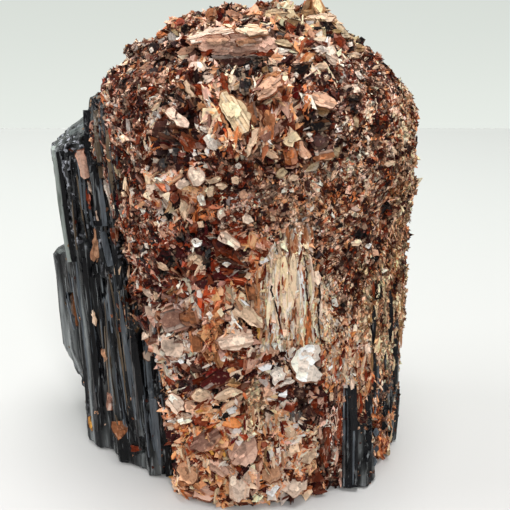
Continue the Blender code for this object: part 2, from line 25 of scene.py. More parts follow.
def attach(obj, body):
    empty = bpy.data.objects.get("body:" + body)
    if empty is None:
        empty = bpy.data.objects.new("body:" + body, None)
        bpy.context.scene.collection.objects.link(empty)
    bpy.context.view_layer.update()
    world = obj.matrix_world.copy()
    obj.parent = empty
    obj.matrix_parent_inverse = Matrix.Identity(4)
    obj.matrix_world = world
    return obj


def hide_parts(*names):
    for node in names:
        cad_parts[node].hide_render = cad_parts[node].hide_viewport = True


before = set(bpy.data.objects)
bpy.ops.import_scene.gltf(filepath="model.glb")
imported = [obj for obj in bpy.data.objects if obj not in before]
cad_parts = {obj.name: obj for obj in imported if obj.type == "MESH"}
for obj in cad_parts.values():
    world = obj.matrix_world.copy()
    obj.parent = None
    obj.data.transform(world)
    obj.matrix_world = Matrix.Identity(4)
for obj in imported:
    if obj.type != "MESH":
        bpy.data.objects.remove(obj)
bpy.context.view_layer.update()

LOG = logging.getLogger("specimen")
MM = 0.001
BODY = "root"
CRYSTAL_NODE = "tourmaline_crystals"
MICA_NODE = "mica_growth"
SEED = 41
TONE_LAYER = "tone"
BASE_BAND_MM = 0.5  # faces that look down below this height stand on the table
FLAT_BASE_MM = 0.4  # points below this height aren't moved
FRONT_SHARE = 1.9  # how much denser things are scattered where the front is seen
TONE_PIVOT = 0.19  # the brightness that the contrast leaves alone
TONE_CONTRAST = 1.62
LIGHT_WEIGHTS = (0.21, 0.72, 0.07)
DARKEST, SHEET_DARKEST, BRIGHTEST = 0.003, 0.004, 0.9
PICTURE_MIDDLE = (250.0, 250.0)
# The dark tone of the mica's cells and streaks. It is also painted shade in the cracks between
# cells.
DARK_AND_CRACK_SHADE_TINT = (0.016, 0.003, 0.0015, 1)
FLECK_TINT = (0.84, 0.54, 0.36, 1)
# Painted light on the crystals: painted shade in the dark grooves, painted highlights on the pale
# streaks and painted glints on the pale chips take the next three colours.
GROOVE_SHADE_TINT = (0.002, 0.002, 0.003, 1)
STREAK_HIGHLIGHT_TINT = (0.26, 0.275, 0.28, 1)
CHIP_GLINT_TINT = (0.36, 0.37, 0.41, 1)
BUMP_DISTANCE = 0.0003

Array = np.ndarray
Rng = np.random.Generator
Mesh = bpy.types.Mesh
Material = bpy.types.Material
Piece = bpy.types.Object
Socket = bpy.types.NodeSocket
Pair = tuple[float, float]
Triple = tuple[float, float, float]
Oval = tuple[float, float, float, float]


def to_linear(display: Array) -> Array:
    """Turns display values into linear light.

    Args:
        display: values from 0 to 1 as a screen shows them.

    Returns:
        The same colours as linear light.
    """
    low = display / 12.92
    high = ((display + 0.055) / 1.055) ** 2.4
    return np.where(display <= 0.04045, low, high)


class Tone(Enum):
    """Colours of the mica and of what is in it, as display values from 0 to 255."""

    WHITE = (250, 235, 220)
    PEARL = (236, 208, 186)
    BLUSH = (212, 168, 146)
    MAUVE = (146, 106, 90)
    CREAM = (236, 202, 170)
    STRAW = (236, 212, 172)
    PINK = (218, 170, 140)
    ROSE = (178, 106, 72)
    SAND = (196, 146, 112)
    AMBER = (198, 138, 94)
    GOLD = (206, 150, 70)
    ORANGE = (184, 106, 60)
    RUST = (140, 52, 22)
    BROWN = (114, 46, 19)
    WINE = (80, 11, 2)
    PLUM = (72, 42, 36)
    TAUPE = (150, 94, 60)
    MOSS = (190, 166, 132)
    OLIVE = (142, 108, 70)
    GREY = (192, 182, 174)
    SLATE = (80, 78, 78)
    # BLACK is partly painted shade: as plates, ribbons and grains it stands for dark hollows, slits
    # and gaps where shade falls, besides black specks.
    BLACK = (22, 8, 5)
    JET = (12, 12, 15)
    # The next two tones are painted highlights: the grey of crystal ribs that catch the light.
    STEEL = (86, 92, 98)
    ASH = (150, 158, 152)
    BARK = (92, 78, 62)

    @property
    def linear(self) -> Array:
        """The colour as linear light, red, green and blue from 0 to 1."""
        return to_linear(np.array(self.value) / 255.0)

    @property
    def brightness(self) -> float:
        """How bright the colour looks."""
        return float(self.linear @ LIGHT_WEIGHTS)


def tones(names: str) -> tuple[Tone, ...]:
    """The tones with these names, in order."""
    return tuple(Tone[name] for name in names.split())


def shares(words: str) -> tuple[tuple[Tone, int], ...]:
    """Pairs of a tone and its share, from words that give them in turn."""
    listed = words.split()
    return tuple((Tone[name], int(share)) for name, share in zip(listed[::2], listed[1::2]))


def value_of(word: str) -> float:
    """The number, or the yes or no, that a word of a table stands for."""
    if word in ("taper", "even"):
        return word == "taper"
    return float(word) if "." in word else int(word)


def lines_of(table: str) -> Iterable[tuple[list[str], list[str]]]:
    """The words before and after the colon, for each line of a table."""
    return ([part.split() for part in line.split(":")] for line in table.strip().splitlines())


class Mix(Enum):
    """Blends of tones found in one part of the mica, as (tone, share) pairs."""

    # The WHITE shares are partly painted glints: white grains stand in for mica faces that catch
    # the light. The BLACK shares are partly painted shade in the gaps between flakes.
    RED_GRAIN = shares("BLACK 7 WINE 21 RUST 20 BROWN 13 MAUVE 7 ROSE 9 BLUSH 9 PEARL 7 WHITE 7")
    WARM_BOOKS = shares(
        "WINE 12 RUST 9 BROWN 13 MAUVE 9 ROSE 8 SAND 11 AMBER 7 BLUSH 13 CREAM 12 "
        "WHITE 6"
    )
    FINE_GRAIN = shares(
        "BLACK 7 WINE 17 RUST 13 BROWN 13 TAUPE 8 AMBER 8 ROSE 6 BLUSH 9 CREAM 10 "
        "PEARL 10"
    )
    WINE_HEART = shares("BLACK 8 WINE 26 RUST 14 BROWN 12 PLUM 8 MAUVE 12 BLUSH 11 WHITE 9")
    PALE_FIBRE = shares("CREAM 30 STRAW 18 SAND 16 WHITE 16 PINK 12 TAUPE 8")
    PALE_PLATES = shares("WHITE 15 PEARL 14 BLUSH 16 GREY 8 SAND 8 MAUVE 9 BROWN 12 RUST 6 WINE 13")
    ORANGE_LOW = shares(
        "AMBER 12 SAND 13 CREAM 18 BLUSH 8 ORANGE 7 RUST 8 BROWN 14 WHITE 9 WINE 11"
    )
    DEEP_RED = shares("BLACK 8 WINE 24 RUST 22 BROWN 14 ORANGE 8 ROSE 9 BLUSH 7 CREAM 8")
    ORANGE_SPOT = shares("ORANGE 30 AMBER 24 SAND 16 RUST 20 CREAM 10")
    OLIVE_EDGE = shares("SAND 19 TAUPE 14 STRAW 16 OLIVE 12 MOSS 8 BROWN 14 CREAM 12 BLACK 5")
    GREEN_CREST = shares("CREAM 18 STRAW 14 OLIVE 14 MOSS 14 SAND 14 BROWN 16 BLACK 10")
    DARK_CREST = shares("OLIVE 16 MOSS 8 SAND 12 BLUSH 10 ROSE 10 BROWN 20 WINE 12 BLACK 12")
    DARK_GRAIN = shares("BLACK 24 SLATE 16 BROWN 18 TAUPE 14 SAND 16 PINK 12")
    CRYSTAL_DUST = shares("BROWN 26 SAND 24 TAUPE 20 RUST 10 CREAM 10 OLIVE 10")


@dataclass(frozen=True)
class Zone:
    """A soft patch of the front with its own mix of tones and its own grains."""

    column: float  # middle of the patch in the picture
    row: float  # middle of the patch in the picture
    wide: float  # half its width in the picture
    high: float  # half its height in the picture
    mix: Mix  # the tones found there
    grain_mm: float = 1.2  # usual width of a grain there
    upright: float = 0.0  # how strongly the grains there stand along the crystals, from 0 to 1
    light: float = 1.0  # how light the zone is as a whole


# The zone at 243,67 has a light of 0.3 as painted shade in the hollow under the top book.
ZONES = [
    Zone(*map(value_of, place), Mix[name], *map(value_of, values))
    for (name, *values), place in lines_of("""
RED_GRAIN 1.15 0.3 1.08: 130 125 45 80
RED_GRAIN 1.1 0.8 1.25: 122 215 15 60
DARK_CREST 1.5 0 0.8: 190 18 60 18
RED_GRAIN 1.2 0 0.5: 150 55 30 22
DEEP_RED 1.3 0 0.72: 146 78 38 28
WARM_BOOKS 2.2: 235 45 55 26
WARM_BOOKS 2.1: 300 50 40 25
GREEN_CREST 2.2 0 0.85: 322 24 42 22
WINE_HEART 1.3 0 0.3: 243 67 34 12
WARM_BOOKS 2.3 0.4: 245 105 50 40
WINE_HEART 1.8: 172 135 34 38
WARM_BOOKS 2.1: 185 190 45 26
RED_GRAIN 1.3 0 1.35: 150 245 30 50
WINE_HEART 2.1 0 1.8: 190 270 42 30
WARM_BOOKS 2.1 0 1.4: 235 270 30 32
RED_GRAIN 1.2 0 1.25: 240 195 45 30
WARM_BOOKS 1.1: 275 195 30 40
RED_GRAIN 1.1: 340 90 40 40
WINE_HEART 1.2: 325 130 26 30
FINE_GRAIN 1.1 0.2 1.12: 365 160 40 60
FINE_GRAIN 1.1 0.3 1.1: 345 250 32 60
PALE_FIBRE 1.5 0.95 1.7: 292 295 33 54
ORANGE_LOW 1.1 0.3: 310 205 40 22
DARK_GRAIN 0.9: 305 217 22 12
ORANGE_SPOT 1.0: 331 195 9 14
OLIVE_EDGE 1.1 0.6: 404 220 12 100
OLIVE_EDGE 1.1 0.9 1.35: 385 320 24 60
ORANGE_LOW 1.4 0.9 1.4: 350 375 30 40
ORANGE_SPOT 1.3 0.6 1.3: 382 440 12 34
WINE_HEART 1.5 0.7 0.9: 332 440 12 50
ORANGE_LOW 1.8 0.3 1.3: 280 445 32 44
WINE_HEART 2.3 0 1.1: 304 402 20 22
OLIVE_EDGE 1.3 0.5: 252 415 12 34
PALE_PLATES 2.5: 165 335 28 34
WARM_BOOKS 2.3 0.2 1.2: 234 318 28 30
PALE_PLATES 2.5 0 0.85: 186 330 24 34
PALE_PLATES 2.2: 290 370 30 22
WINE_HEART 2.5 0 1.2: 210 380 36 22
ORANGE_LOW 2.8 0 1.8: 205 430 44 36
ORANGE_LOW 3.0 0 1.1: 232 482 62 28
DARK_GRAIN 1.1 0.6: 155 400 12 60
ORANGE_SPOT 1.5 0.3 1.2: 213 342 9 26
ORANGE_SPOT 1.5 0.5 1.4: 184 440 9 30
FINE_GRAIN 1.3 0.2: 0 0 1 1
""")
]


@dataclass(frozen=True)
class PictureView:
    """The fixed point from which the front's features were measured."""

    eye_mm: Triple = (7.5, -189.06, 143.0)  # where the eye is
    target_mm: Triple = (7.5, 3.44, 55.7)  # the point it looks at, in the middle of the picture
    side: int = 510  # width and height of the picture
    focal: float = 800.0  # distance from the eye to the picture, in the picture's own units

    @property
    def eye(self) -> Vector:
        """The eye's place in metres."""
        return Vector(self.eye_mm) * MM

    def axes(self) -> tuple[Vector, Vector, Vector]:
        """Returns the picture's right, up and forward directions."""
        forward = (Vector(self.target_mm) - Vector(self.eye_mm)).normalized()
        right = forward.cross(Vector((0, 0, 1))).normalized()
        return right, right.cross(forward).normalized(), forward

    def ray(self, column: float, row: float) -> Vector:
        """Direction from the eye through a place in the picture.

        Args:
            column: distance from the picture's left edge.
            row: distance from its top edge.

        Returns:
            A unit vector.
        """
        right, up, forward = self.axes()
        middle = self.side / 2
        across = right * ((column - middle) / self.focal)
        rise = up * ((middle - row) / self.focal)
        return (forward + across + rise).normalized()

    def project(self, points: Array) -> tuple[Array, Array]:
        """Where points fall in the picture.

        Args:
            points: places in metres, one to a row.

        Returns:
            Their columns and their rows.
        """
        right, up, forward = (np.array(axis) for axis in self.axes())
        offset = points - np.array(self.eye)
        depth = offset @ forward
        middle = self.side / 2
        columns = middle + self.focal * (offset @ right) / depth
        rows = middle - self.focal * (offset @ up) / depth
        return columns, rows

    def facing(self, points: Array, normals: Array) -> Array:
        """Which points, given with their outward directions, face the eye."""
        return ((np.array(self.eye) - points) * normals).sum(axis=1) > 0


VIEW = PictureView()


def rows_of(items: bpy.types.bpy_prop_collection, key: str, kind: type = np.float32) -> Array:
    """One property of a mesh's points or triangles, three values to a row."""
    values = np.empty(len(items) * 3, kind)
    items.foreach_get(key, values)
    return values.reshape(-1, 3)


def tree_of(places: Array) -> KDTree:
    """A search tree over places."""
    tree = KDTree(len(places))
    for i, place in enumerate(places):
        tree.insert(place, i)
    tree.balance()
    return tree


class Skin:
    """The triangles of one solid or mesh, as something to place pieces on."""

    def __init__(self, mesh: Mesh) -> None:
        """Reads a mesh once.

        Args:
            mesh: a mesh in world coordinates.
        """
        mesh.calc_loop_triangles()
        self.points = rows_of(mesh.vertices, "co").astype(float)
        self.corners = rows_of(mesh.loop_triangles, "vertices", np.int32)
        self.tree = BVHTree.FromPolygons(self.points.tolist(), self.corners.tolist())

    def faces(self) -> tuple[Array, Array, Array]:
        """The triangles' corners, outward directions and areas."""
        corners = self.points[self.corners]
        cross = np.cross(corners[:, 1] - corners[:, 0], corners[:, 2] - corners[:, 0])
        length = np.linalg.norm(cross, axis=1)
        return corners, cross / np.maximum(length, 1e-12)[:, None], length / 2

    def open_faces(self, other: "Skin") -> Array:
        """Which triangles lie open to the air, not against another solid or the floor.

        Args:
            other: the other solid.

        Returns:
            True or False for each triangle.
        """
        corners, normals, _ = self.faces()
        middles = corners.mean(axis=1)
        found = np.ones(len(middles), bool)
        found[(middles[:, 2] < BASE_BAND_MM * MM) & (normals[:, 2] < -0.3)] = False
        for i in np.flatnonzero(found):
            direction = Vector(normals[i])
            start = Vector(middles[i]) + direction * 0.02 * MM
            point, *_ = other.tree.ray_cast(start, direction, 3.0 * MM)
            found[i] = point is None
        return found


class Ground:
    """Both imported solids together, as the front is seen."""

    def __init__(self) -> None:
        """Reads both solids once."""
        self.skins = {name: Skin(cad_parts[name].data) for name in (CRYSTAL_NODE, MICA_NODE)}

    def seen_at(self, column: float, row: float) -> tuple[Vector, Vector, float] | None:
        """The nearest point of either solid at a place in the picture.

        Args:
            column: distance from the picture's left edge.
            row: distance from its top edge.

        Returns:
            The point, the outward direction there and its distance, or None past the outline.
        """
        ray = VIEW.ray(column, row)
        best = None
        for skin in self.skins.values():
            point, normal, _, far = skin.tree.ray_cast(VIEW.eye, ray)
            if point is not None and (best is None or far < best[2]):
                best = (point, normal, far)
        return best

    def near(self, column: float, row: float) -> tuple[Vector, Vector, float] | None:
        """The same as seen_at, but past the outline it looks a little further in.

        Args:
            column: distance from the picture's left edge.
            row: distance from its top edge.

        Returns:
            The point, the outward direction there and its distance, or None well off the solids.
        """
        x, y = PICTURE_MIDDLE
        away = math.hypot(column - x, row - y)
        for step in (0, 3, 6, 10):
            share = 1 - step / away
            found = self.seen_at(x + (column - x) * share, y + (row - y) * share)
            if found is not None:
                return found
        return None


@dataclass
class Scatter:
    """Places on open faces, with what the surface does there."""

    places: Array  # points in metres
    normals: Array  # outward directions
    columns: Array = field(init=False)  # the points' columns in the picture
    rows: Array = field(init=False)  # the points' rows in the picture
    # whether each point faces the eye that measured the front
    faces_front: Array = field(init=False)

    def __post_init__(self) -> None:
        """Works out where the places fall in the picture."""
        self.columns, self.rows = VIEW.project(self.places)
        self.faces_front = VIEW.facing(self.places, self.normals)

    @classmethod
    def over(cls, skin: Skin, is_open: Array, count: int, rng: Rng) -> "Scatter":
        """Scatters points evenly over a skin's open faces.

        Args:
            skin: the triangles.
            is_open: which of them are open.
            count: how many points.
            rng: the source of chance.

        Returns:
            The places.
        """
        corners, normals, areas = skin.faces()
        in_front = VIEW.facing(corners.mean(axis=1), normals)
        weights = areas * is_open * np.where(in_front, FRONT_SHARE, 1.0)
        picked = rng.choice(len(areas), count, p=weights / weights.sum())
        first, second = rng.random(count), rng.random(count)
        flip = first + second > 1
        first[flip], second[flip] = 1 - first[flip], 1 - second[flip]
        base = corners[picked]
        places = base[:, 0] + first[:, None] * (base[:, 1] - base[:, 0])
        places = places + second[:, None] * (base[:, 2] - base[:, 0])
        return cls(places, normals[picked])

    def pick(self, chosen: Array) -> "Scatter":
        """The same scatter with only some places, given by number or as True or False for each."""
        return Scatter(self.places[chosen], self.normals[chosen])

    def away(self, column: float, row: float, wide: float, high: float) -> Array:
        """How far places lie from an oval's middle in the picture: below 1 inside, squared."""
        return ((self.columns - column) / wide) ** 2 + ((self.rows - row) / high) ** 2

    def inside(self, box: Oval, edge: float) -> Array:
        """How much each place lies inside a box of the picture, from 0 to 1.

        Args:
            box: the box's left, top, right and bottom.
            edge: the width of its soft border.

        Returns:
            One value for each place.
        """
        left, top, right, bottom = box
        across = np.minimum(self.columns - left, right - self.columns)
        along = np.minimum(self.rows - top, bottom - self.rows)
        return np.clip(0.5 + np.minimum(across, along) / edge, 0, 1)


def lattice_noise(points: Array, cell: float | Sequence[float], seed: int) -> Array:
    """Smooth random values over space, one for each point, from -1 to 1.

    Args:
        points: places in metres.
        cell: distance over which the values change, in metres, or one for each axis.
        seed: picks the pattern.

    Returns:
        One value for each point.
    """
    scaled = points / np.asarray(cell) + 100.0
    base = np.floor(scaled).astype(np.int64)
    part = scaled - base
    part = part * part * (3 - 2 * part)
    total = np.zeros(len(points))
    for corner in range(8):
        step = np.array([corner & 1, corner >> 1 & 1, corner >> 2 & 1])
        key = (base + step) @ np.array([73856093, 19349663, 83492791]) + seed * 97531
        key = (key & 0xFFFFFF) * 40503 + (key >> 24)
        key = ((key >> 7) ^ key) & 0xFFFFFFFF
        key = (key * 69069 + 12345) & 0xFFFFFFFF
        value = ((key >> 12) & 0xFFFF) / 32767.5 - 1
        total += value * np.where(step, part, 1 - part).prod(axis=1)
    return total


@dataclass
class ZoneMap:
    """Says for any place which mix of tones, grain size and direction it has."""

    zones: Sequence[Zone]  # patches of the front, and last what the rest of the mica is like
    patches: Sequence[tuple[Oval, Tone]] = ()  # small ovals of one tone

    def choose(self, scatter: Scatter, rng: Rng) -> Array:
        """Picks a zone for every place, with soft borders.

        Args:
            scatter: the places.
            rng: the source of chance.

        Returns:
            The number of each place's zone.
        """
        scores = np.empty((len(self.zones), len(scatter.places)))
        for i, zone in enumerate(self.zones[:-1]):
            away = scatter.away(zone.column, zone.row, zone.wide, zone.high)
            scores[i] = np.exp(-1.2 * away) * scatter.faces_front
        scores[-1] = 0.12
        scores = np.log(scores + 1e-9) + rng.gumbel(0, 0.3, scores.shape)
        return scores.argmax(axis=0)

    def tones(self, scatter: Scatter, chosen: Array, rng: Rng, loose: float = 0.75) -> Array:
        """Picks a colour for every place out of its zone's mix, alike in small patches.

        Args:
            scatter: the places.
            chosen: the number of each place's zone.
            rng: the source of chance.
            loose: how little neighbours are alike.

        Returns:
            Linear colours, one to a row.
        """
        upright = (1.9 * MM, 1.9 * MM, 3.6 * MM)
        value = lattice_noise(scatter.places, upright, 71)
        value += 0.5 * lattice_noise(scatter.places, 5.5 * MM, 72)
        value += loose * rng.normal(0, 1, len(value))
        order = np.empty(len(value))
        order[np.argsort(value)] = (np.arange(len(value)) + 0.5) / len(value)
        colours = np.empty((len(chosen), 3))
        for i, zone in enumerate(self.zones):
            here = np.flatnonzero(chosen == i)
            mix = sorted(zone.mix.value, key=lambda pair: pair[0].brightness)
            ends = np.cumsum([share for _, share in mix], dtype=float)
            picked = np.searchsorted(ends / ends[-1], order[here])
            tones = np.array([tone.linear for tone, _ in mix])
            colours[here] = tones[np.minimum(picked, len(mix) - 1)] * zone.light
        for (column, row, wide, high), tone in self.patches:
            edge = scatter.away(column, row, wide + 0.8, high + 0.8)
            edge += rng.normal(0, 0.15, len(value))
            inside = (edge < 1) & (rng.random(len(value)) < 0.8) & (scatter.faces_front > 0.1)
            colours[inside] = tone.linear * np.exp(rng.normal(0, 0.3, (int(inside.sum()), 1)))
        light = colours @ LIGHT_WEIGHTS
        colours = colours * ((light / TONE_PIVOT) ** (TONE_CONTRAST - 1))[:, None]
        colours = colours / np.maximum(1, colours.max(axis=1) / 0.86)[:, None]
        shade = np.exp(rng.normal(0, 0.18, len(chosen)))
        warmth = rng.normal(0, 0.03, (len(chosen), 3))
        return np.clip(colours * shade[:, None] * (1 + warmth), DARKEST, BRIGHTEST)

    def sizes(self, chosen: Array) -> Array:
        """The usual grain width for every place, in metres."""
        return np.array([zone.grain_mm for zone in self.zones])[chosen] * MM

    def uprights(self, chosen: Array) -> Array:
        """How strongly the grains stand upright at every place."""
        return np.array([zone.upright for zone in self.zones])[chosen]


def unit(vectors: Array) -> Array:
    """Vectors scaled to length 1, one to a row."""
    return vectors / np.maximum(np.linalg.norm(vectors, axis=-1, keepdims=True), 1e-12)


def frames_from(normals: Array, hints: Array) -> Array:
    """Right-handed frames from a normal and a hint of which way is up.

    Args:
        normals: the frames' third axes, unit length.
        hints: roughly the frames' second axes.

    Returns:
        Axes as rows, in an array of (count, 3, 3).
    """
    first = unit(np.cross(hints, normals))
    second = np.cross(normals, first)
    return np.stack([first, second, normals], axis=1)


def tilted(normals: Array, angles: Array, rng: Rng) -> Array:
    """Unit directions, each turned by its angle in radians towards a side picked at random."""
    side = unit(np.cross(normals, unit(rng.normal(size=normals.shape))))
    return unit(normals * np.cos(angles)[:, None] + side * np.sin(angles)[:, None])


def uneven_outlines(
    width: Array, length: Array, sides: int, rng: Rng, least: float = 0.62
) -> Array:
    """Irregular polygons, as broken crystals of mica have.

    Args:
        width: each polygon's width.
        length: each polygon's length.
        sides: how many corners they have.
        rng: the source of chance.
        least: how near the middle a corner may lie, against the full reach.

    Returns:
        Corners as (count, sides, 2).
    """
    count = len(width)
    turn = rng.uniform(0, 2 * math.pi, (count, 1))
    steps = np.arange(sides) + rng.uniform(-0.3, 0.3, (count, sides))
    angle = turn + steps * 2 * math.pi / sides
    reach = rng.uniform(least, 1.2, (count, sides)) / 2
    x = np.cos(angle) * reach * width[:, None]
    y = np.sin(angle) * reach * length[:, None]
    return np.stack([x, y], axis=2)


def above_base(shapes: Array) -> Array:
    """Lifts shapes, given as (count, corners, 3), so far that no corner is below the base."""
    lowest = np.minimum(shapes[..., 2].min(axis=1), 0.0)
    return shapes - lowest[:, None, None] * np.array([0, 0, 1.0])


def mesh_from_arrays(name: str, points: Array, loops: Array, totals: Array, tones: Array) -> Mesh:
    """Builds a mesh from arrays of its points and faces.

    Args:
        name: the mesh's name.
        points: places in metres, one to a row.
        loops: the faces' corners one after another.
        totals: how many corners each face has.
        tones: linear colour of each point.

    Returns:
        The mesh.
    """
    mesh = bpy.data.meshes.new(name)
    mesh.vertices.add(len(points))
    mesh.vertices.foreach_set("co", points.astype(np.float32).ravel())
    mesh.loops.add(len(loops))
    mesh.loops.foreach_set("vertex_index", loops.astype(np.int32))
    mesh.polygons.add(len(totals))
    starts = np.concatenate([[0], np.cumsum(totals)[:-1]])
    mesh.polygons.foreach_set("loop_start", starts.astype(np.int32))
    mesh.update(calc_edges=True)
    mesh.shade_flat()
    paint(mesh, tones)
    return mesh


def paint(mesh: Mesh, tones: Array) -> None:
    """Gives each point of a mesh its colour.

    Args:
        mesh: the mesh.
        tones: linear colours, one to a row, with or without a fourth value.
    """
    layer = mesh.color_attributes.new(TONE_LAYER, "FLOAT_COLOR", "POINT")
    colours = tones if tones.shape[1] == 4 else np.pad(tones, ((0, 0), (0, 1)), constant_values=1)
    layer.data.foreach_set("color", colours.astype(np.float32).ravel())


@dataclass
class Flakes:
    """Many small closed shapes, each with a flat uneven face."""

    centres: Array  # the middles of the faces in metres, as (count, 3)
    frames: Array  # each shape's right, up and outward directions, as (count, 3, 3)
    outlines: Array  # each face's corners in its own plane in metres, as (count, corners, 2)
    depth: Array  # how far each shape reaches from face to foot, in metres
    tones: Array  # each shape's linear colour, one to a row

    def flat(self) -> tuple[Array, Array]:
        """The faces' corners in space, and the numbers of one face's corners."""
        flat = np.einsum("nki,nij->nkj", self.outlines, self.frames[:, :2])
        return self.centres[:, None] + flat, np.arange(self.outlines.shape[1])

    def joined(self, name: str, points: Array, caps: Array, walls: Array) -> Mesh:
        """Joins the shapes into one mesh.

        Args:
            name: the mesh's name.
            points: each shape's points, as (count, points, 3).
            caps: the corners of each flat face of a shape.
            walls: the corners of each of its side faces.

        Returns:
            The mesh, with the colours in its tone layer.
        """
        count, size, _ = points.shape
        start = (np.arange(count) * size)[:, None]
        faces = [*(start + cap for cap in caps), start[:, :, None] + walls]
        totals = [np.full(count * len(part), part.shape[1]) for part in (caps, walls)]
        loops = np.concatenate([face.ravel() for face in faces])
        points, tones = above_base(points).reshape(-1, 3), np.repeat(self.tones, size, axis=0)
        return mesh_from_arrays(name, points, loops, np.concatenate(totals), tones)


class Shards(Flakes):
    """Grains that taper to a point below their face."""

    def mesh(self, name: str) -> Mesh:
        """Builds all the grains as one mesh.

        Args:
            name: the mesh's name.

        Returns:
            The mesh.
        """
        top, ring = self.flat()
        sides = len(ring)
        tip = self.centres - self.frames[:, 2] * self.depth[:, None]
        below = np.stack([(ring + 1) % sides, ring, np.full(sides, sides)], axis=1)
        return self.joined(name, np.concatenate([top, tip[:, None]], axis=1), ring[None], below)


class Sheets(Flakes):
    """Plates with a little thickness."""

    def mesh(self, name: str) -> Mesh:
        """Builds all the plates as one mesh.

        Args:
            name: the mesh's name.

        Returns:
            The mesh.
        """
        flat, ring = self.flat()
        sides = len(ring)
        lift = (self.frames[:, 2] * (self.depth / 2)[:, None])[:, None]
        after = (ring + 1) % sides
        walls = np.stack([ring + sides, after + sides, after, ring], axis=1)
        caps = np.stack([ring, sides + ring[::-1]])
        return self.joined(name, np.concatenate([flat + lift, flat - lift], axis=1), caps, walls)


class MeshParts:
    """Closed shapes collected one by one into one mesh."""

    def __init__(self) -> None:
        """Starts empty."""
        self.points: list[Array] = []
        self.loops: list[Array] = []
        self.totals: list[Array] = []
        self.tones: list[Array] = []
        self.count = 0

    def add(self, points: Array, faces: Iterable[Sequence[int]], tone: Array) -> None:
        """Adds one shape.

        Args:
            points: its points in metres.
            faces: its faces as the numbers of their points.
            tone: its linear colour.
        """
        faces = [np.asarray(face) for face in faces]
        self.points.append(above_base(points[None])[0])
        self.loops.append(np.concatenate(faces) + self.count)
        self.totals.append(np.array([len(face) for face in faces]))
        self.tones.append(np.repeat(tone[None], len(points), axis=0))
        self.count += len(points)

    def add_slab(self, top: Array, bottom: Array, tone: Array) -> None:
        """Adds a slab between two rings of points.

        Args:
            top: the upper ring.
            bottom: the lower ring.
            tone: its linear colour.
        """
        count = len(top)
        faces = [list(range(count)), list(range(2 * count - 1, count - 1, -1))]
        for i in range(count):
            j = (i + 1) % count
            faces.append([i + count, j + count, j, i])
        self.add(np.concatenate([top, bottom]), faces, tone)

    def mesh(self, name: str) -> Mesh:
        """Joins the shapes into one mesh with that name."""
        return mesh_from_arrays(
            name, np.concatenate(self.points), np.concatenate(self.loops),
            np.concatenate(self.totals), np.concatenate(self.tones),
        )


def show(mesh: Mesh, finish: Material) -> Piece:
    """Puts a mesh in the scene under its own name.

    Args:
        mesh: the mesh.
        finish: its material.

    Returns:
        The object.
    """
    mesh.materials.clear()
    mesh.materials.append(finish)
    piece = bpy.data.objects.new(mesh.name, mesh)
    bpy.context.scene.collection.objects.link(piece)
    LOG.info("%s: %d points, %d faces", piece.name, len(mesh.vertices), len(mesh.polygons))
    return piece


def dress(mesh: Mesh, finish: Material) -> Piece:
    """Shows a mesh as a piece of the specimen.

    Args:
        mesh: the mesh.
        finish: its material.

    Returns:
        The object.
    """
    piece = show(mesh, finish)
    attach(piece, BODY)
    return piece


def direction_field(points: Array, cell: float, seed: int) -> Array:
    """Unit directions that change smoothly over space, so that neighbours point alike."""
    return unit(np.stack([lattice_noise(points, cell, seed + k) for k in range(3)], axis=1))


@dataclass
class Board:
    """A small helper that adds and links the nodes of one node tree."""

    tree: bpy.types.NodeTree

    def add(
        self, kind: str, settings: dict | None = None, numbered: dict | None = None,
        **inputs: object,
    ) -> bpy.types.Node:
        """Adds a node, sets its settings, and links or sets its inputs.

        Args:
            kind: the node's type name, without its Shader prefix.
            settings: properties of the node.
            numbered: inputs by number.
            **inputs: inputs by name, in lower case with underscores.

        Returns:
            The node.
        """
        node = self.tree.nodes.new("ShaderNode" + kind)
        for key, value in (settings or {}).items():
            setattr(node, key, value)
        for number, value in (numbered or {}).items():
            self.feed(node.inputs[number], value)
        for key, value in inputs.items():
            wanted = key.replace("_", " ")
            socket = next(s for s in node.inputs if s.name.lower() == wanted and s.enabled)
            self.feed(socket, value)
        return node

    def feed(self, socket: Socket, value: object) -> None:
        """Links a socket to another, or sets its value.

        Args:
            socket: the input.
            value: an output to link, or a plain value.
        """
        if isinstance(value, Socket):
            self.tree.links.new(value, socket)
        else:
            socket.default_value = value

    def math(self, operation: str, first: object, second: object = 0.0) -> Socket:
        """Adds a calculation with two values or outputs."""
        return self.add("Math", {"operation": operation}, {0: first, 1: second}).outputs[0]

    def blend(self, share: object, first: object, second: object) -> Socket:
        """Adds a blend of two colours, with that share of the second."""
        return self.add("Mix", {"data_type": "RGBA"}, {0: share, 6: first, 7: second}).outputs[2]

    def ramp(self, value: Socket, low: float, high: float) -> Socket:
        """Adds a smooth step from 0 to 1 as an output goes from low to high."""
        smooth = {"interpolation_type": "SMOOTHSTEP"}
        return self.add("MapRange", smooth, {0: value, 1: low, 2: high}).outputs[0]

    def place(self, of: str = "Object") -> Sequence[Socket]:
        """Adds the place on the specimen, or another of its coordinates, as three values."""
        return self.add("SeparateXYZ", vector=self.add("TexCoord").outputs[of]).outputs


GRAIN_INPUTS = (
    ("Colour", "NodeSocketColor", (0.3, 0.2, 0.15, 1)),
    ("Dark", "NodeSocketColor", (0.03, 0.01, 0.008, 1)),
    ("Pale", "NodeSocketColor", (0.7, 0.6, 0.5, 1)),
    ("Darkness", "NodeSocketFloat", 0.5),
    ("Flecks", "NodeSocketFloat", 0.2),
    ("Scale", "NodeSocketFloat", 1500.0),
    ("Stretch", "NodeSocketFloat", 1.0),
    ("Relief", "NodeSocketFloat", 0.3),
)
GRAIN_OUTPUTS = (
    ("Colour", "NodeSocketColor"), ("Mask", "NodeSocketFloat"), ("Normal", "NodeSocketVector"),
)


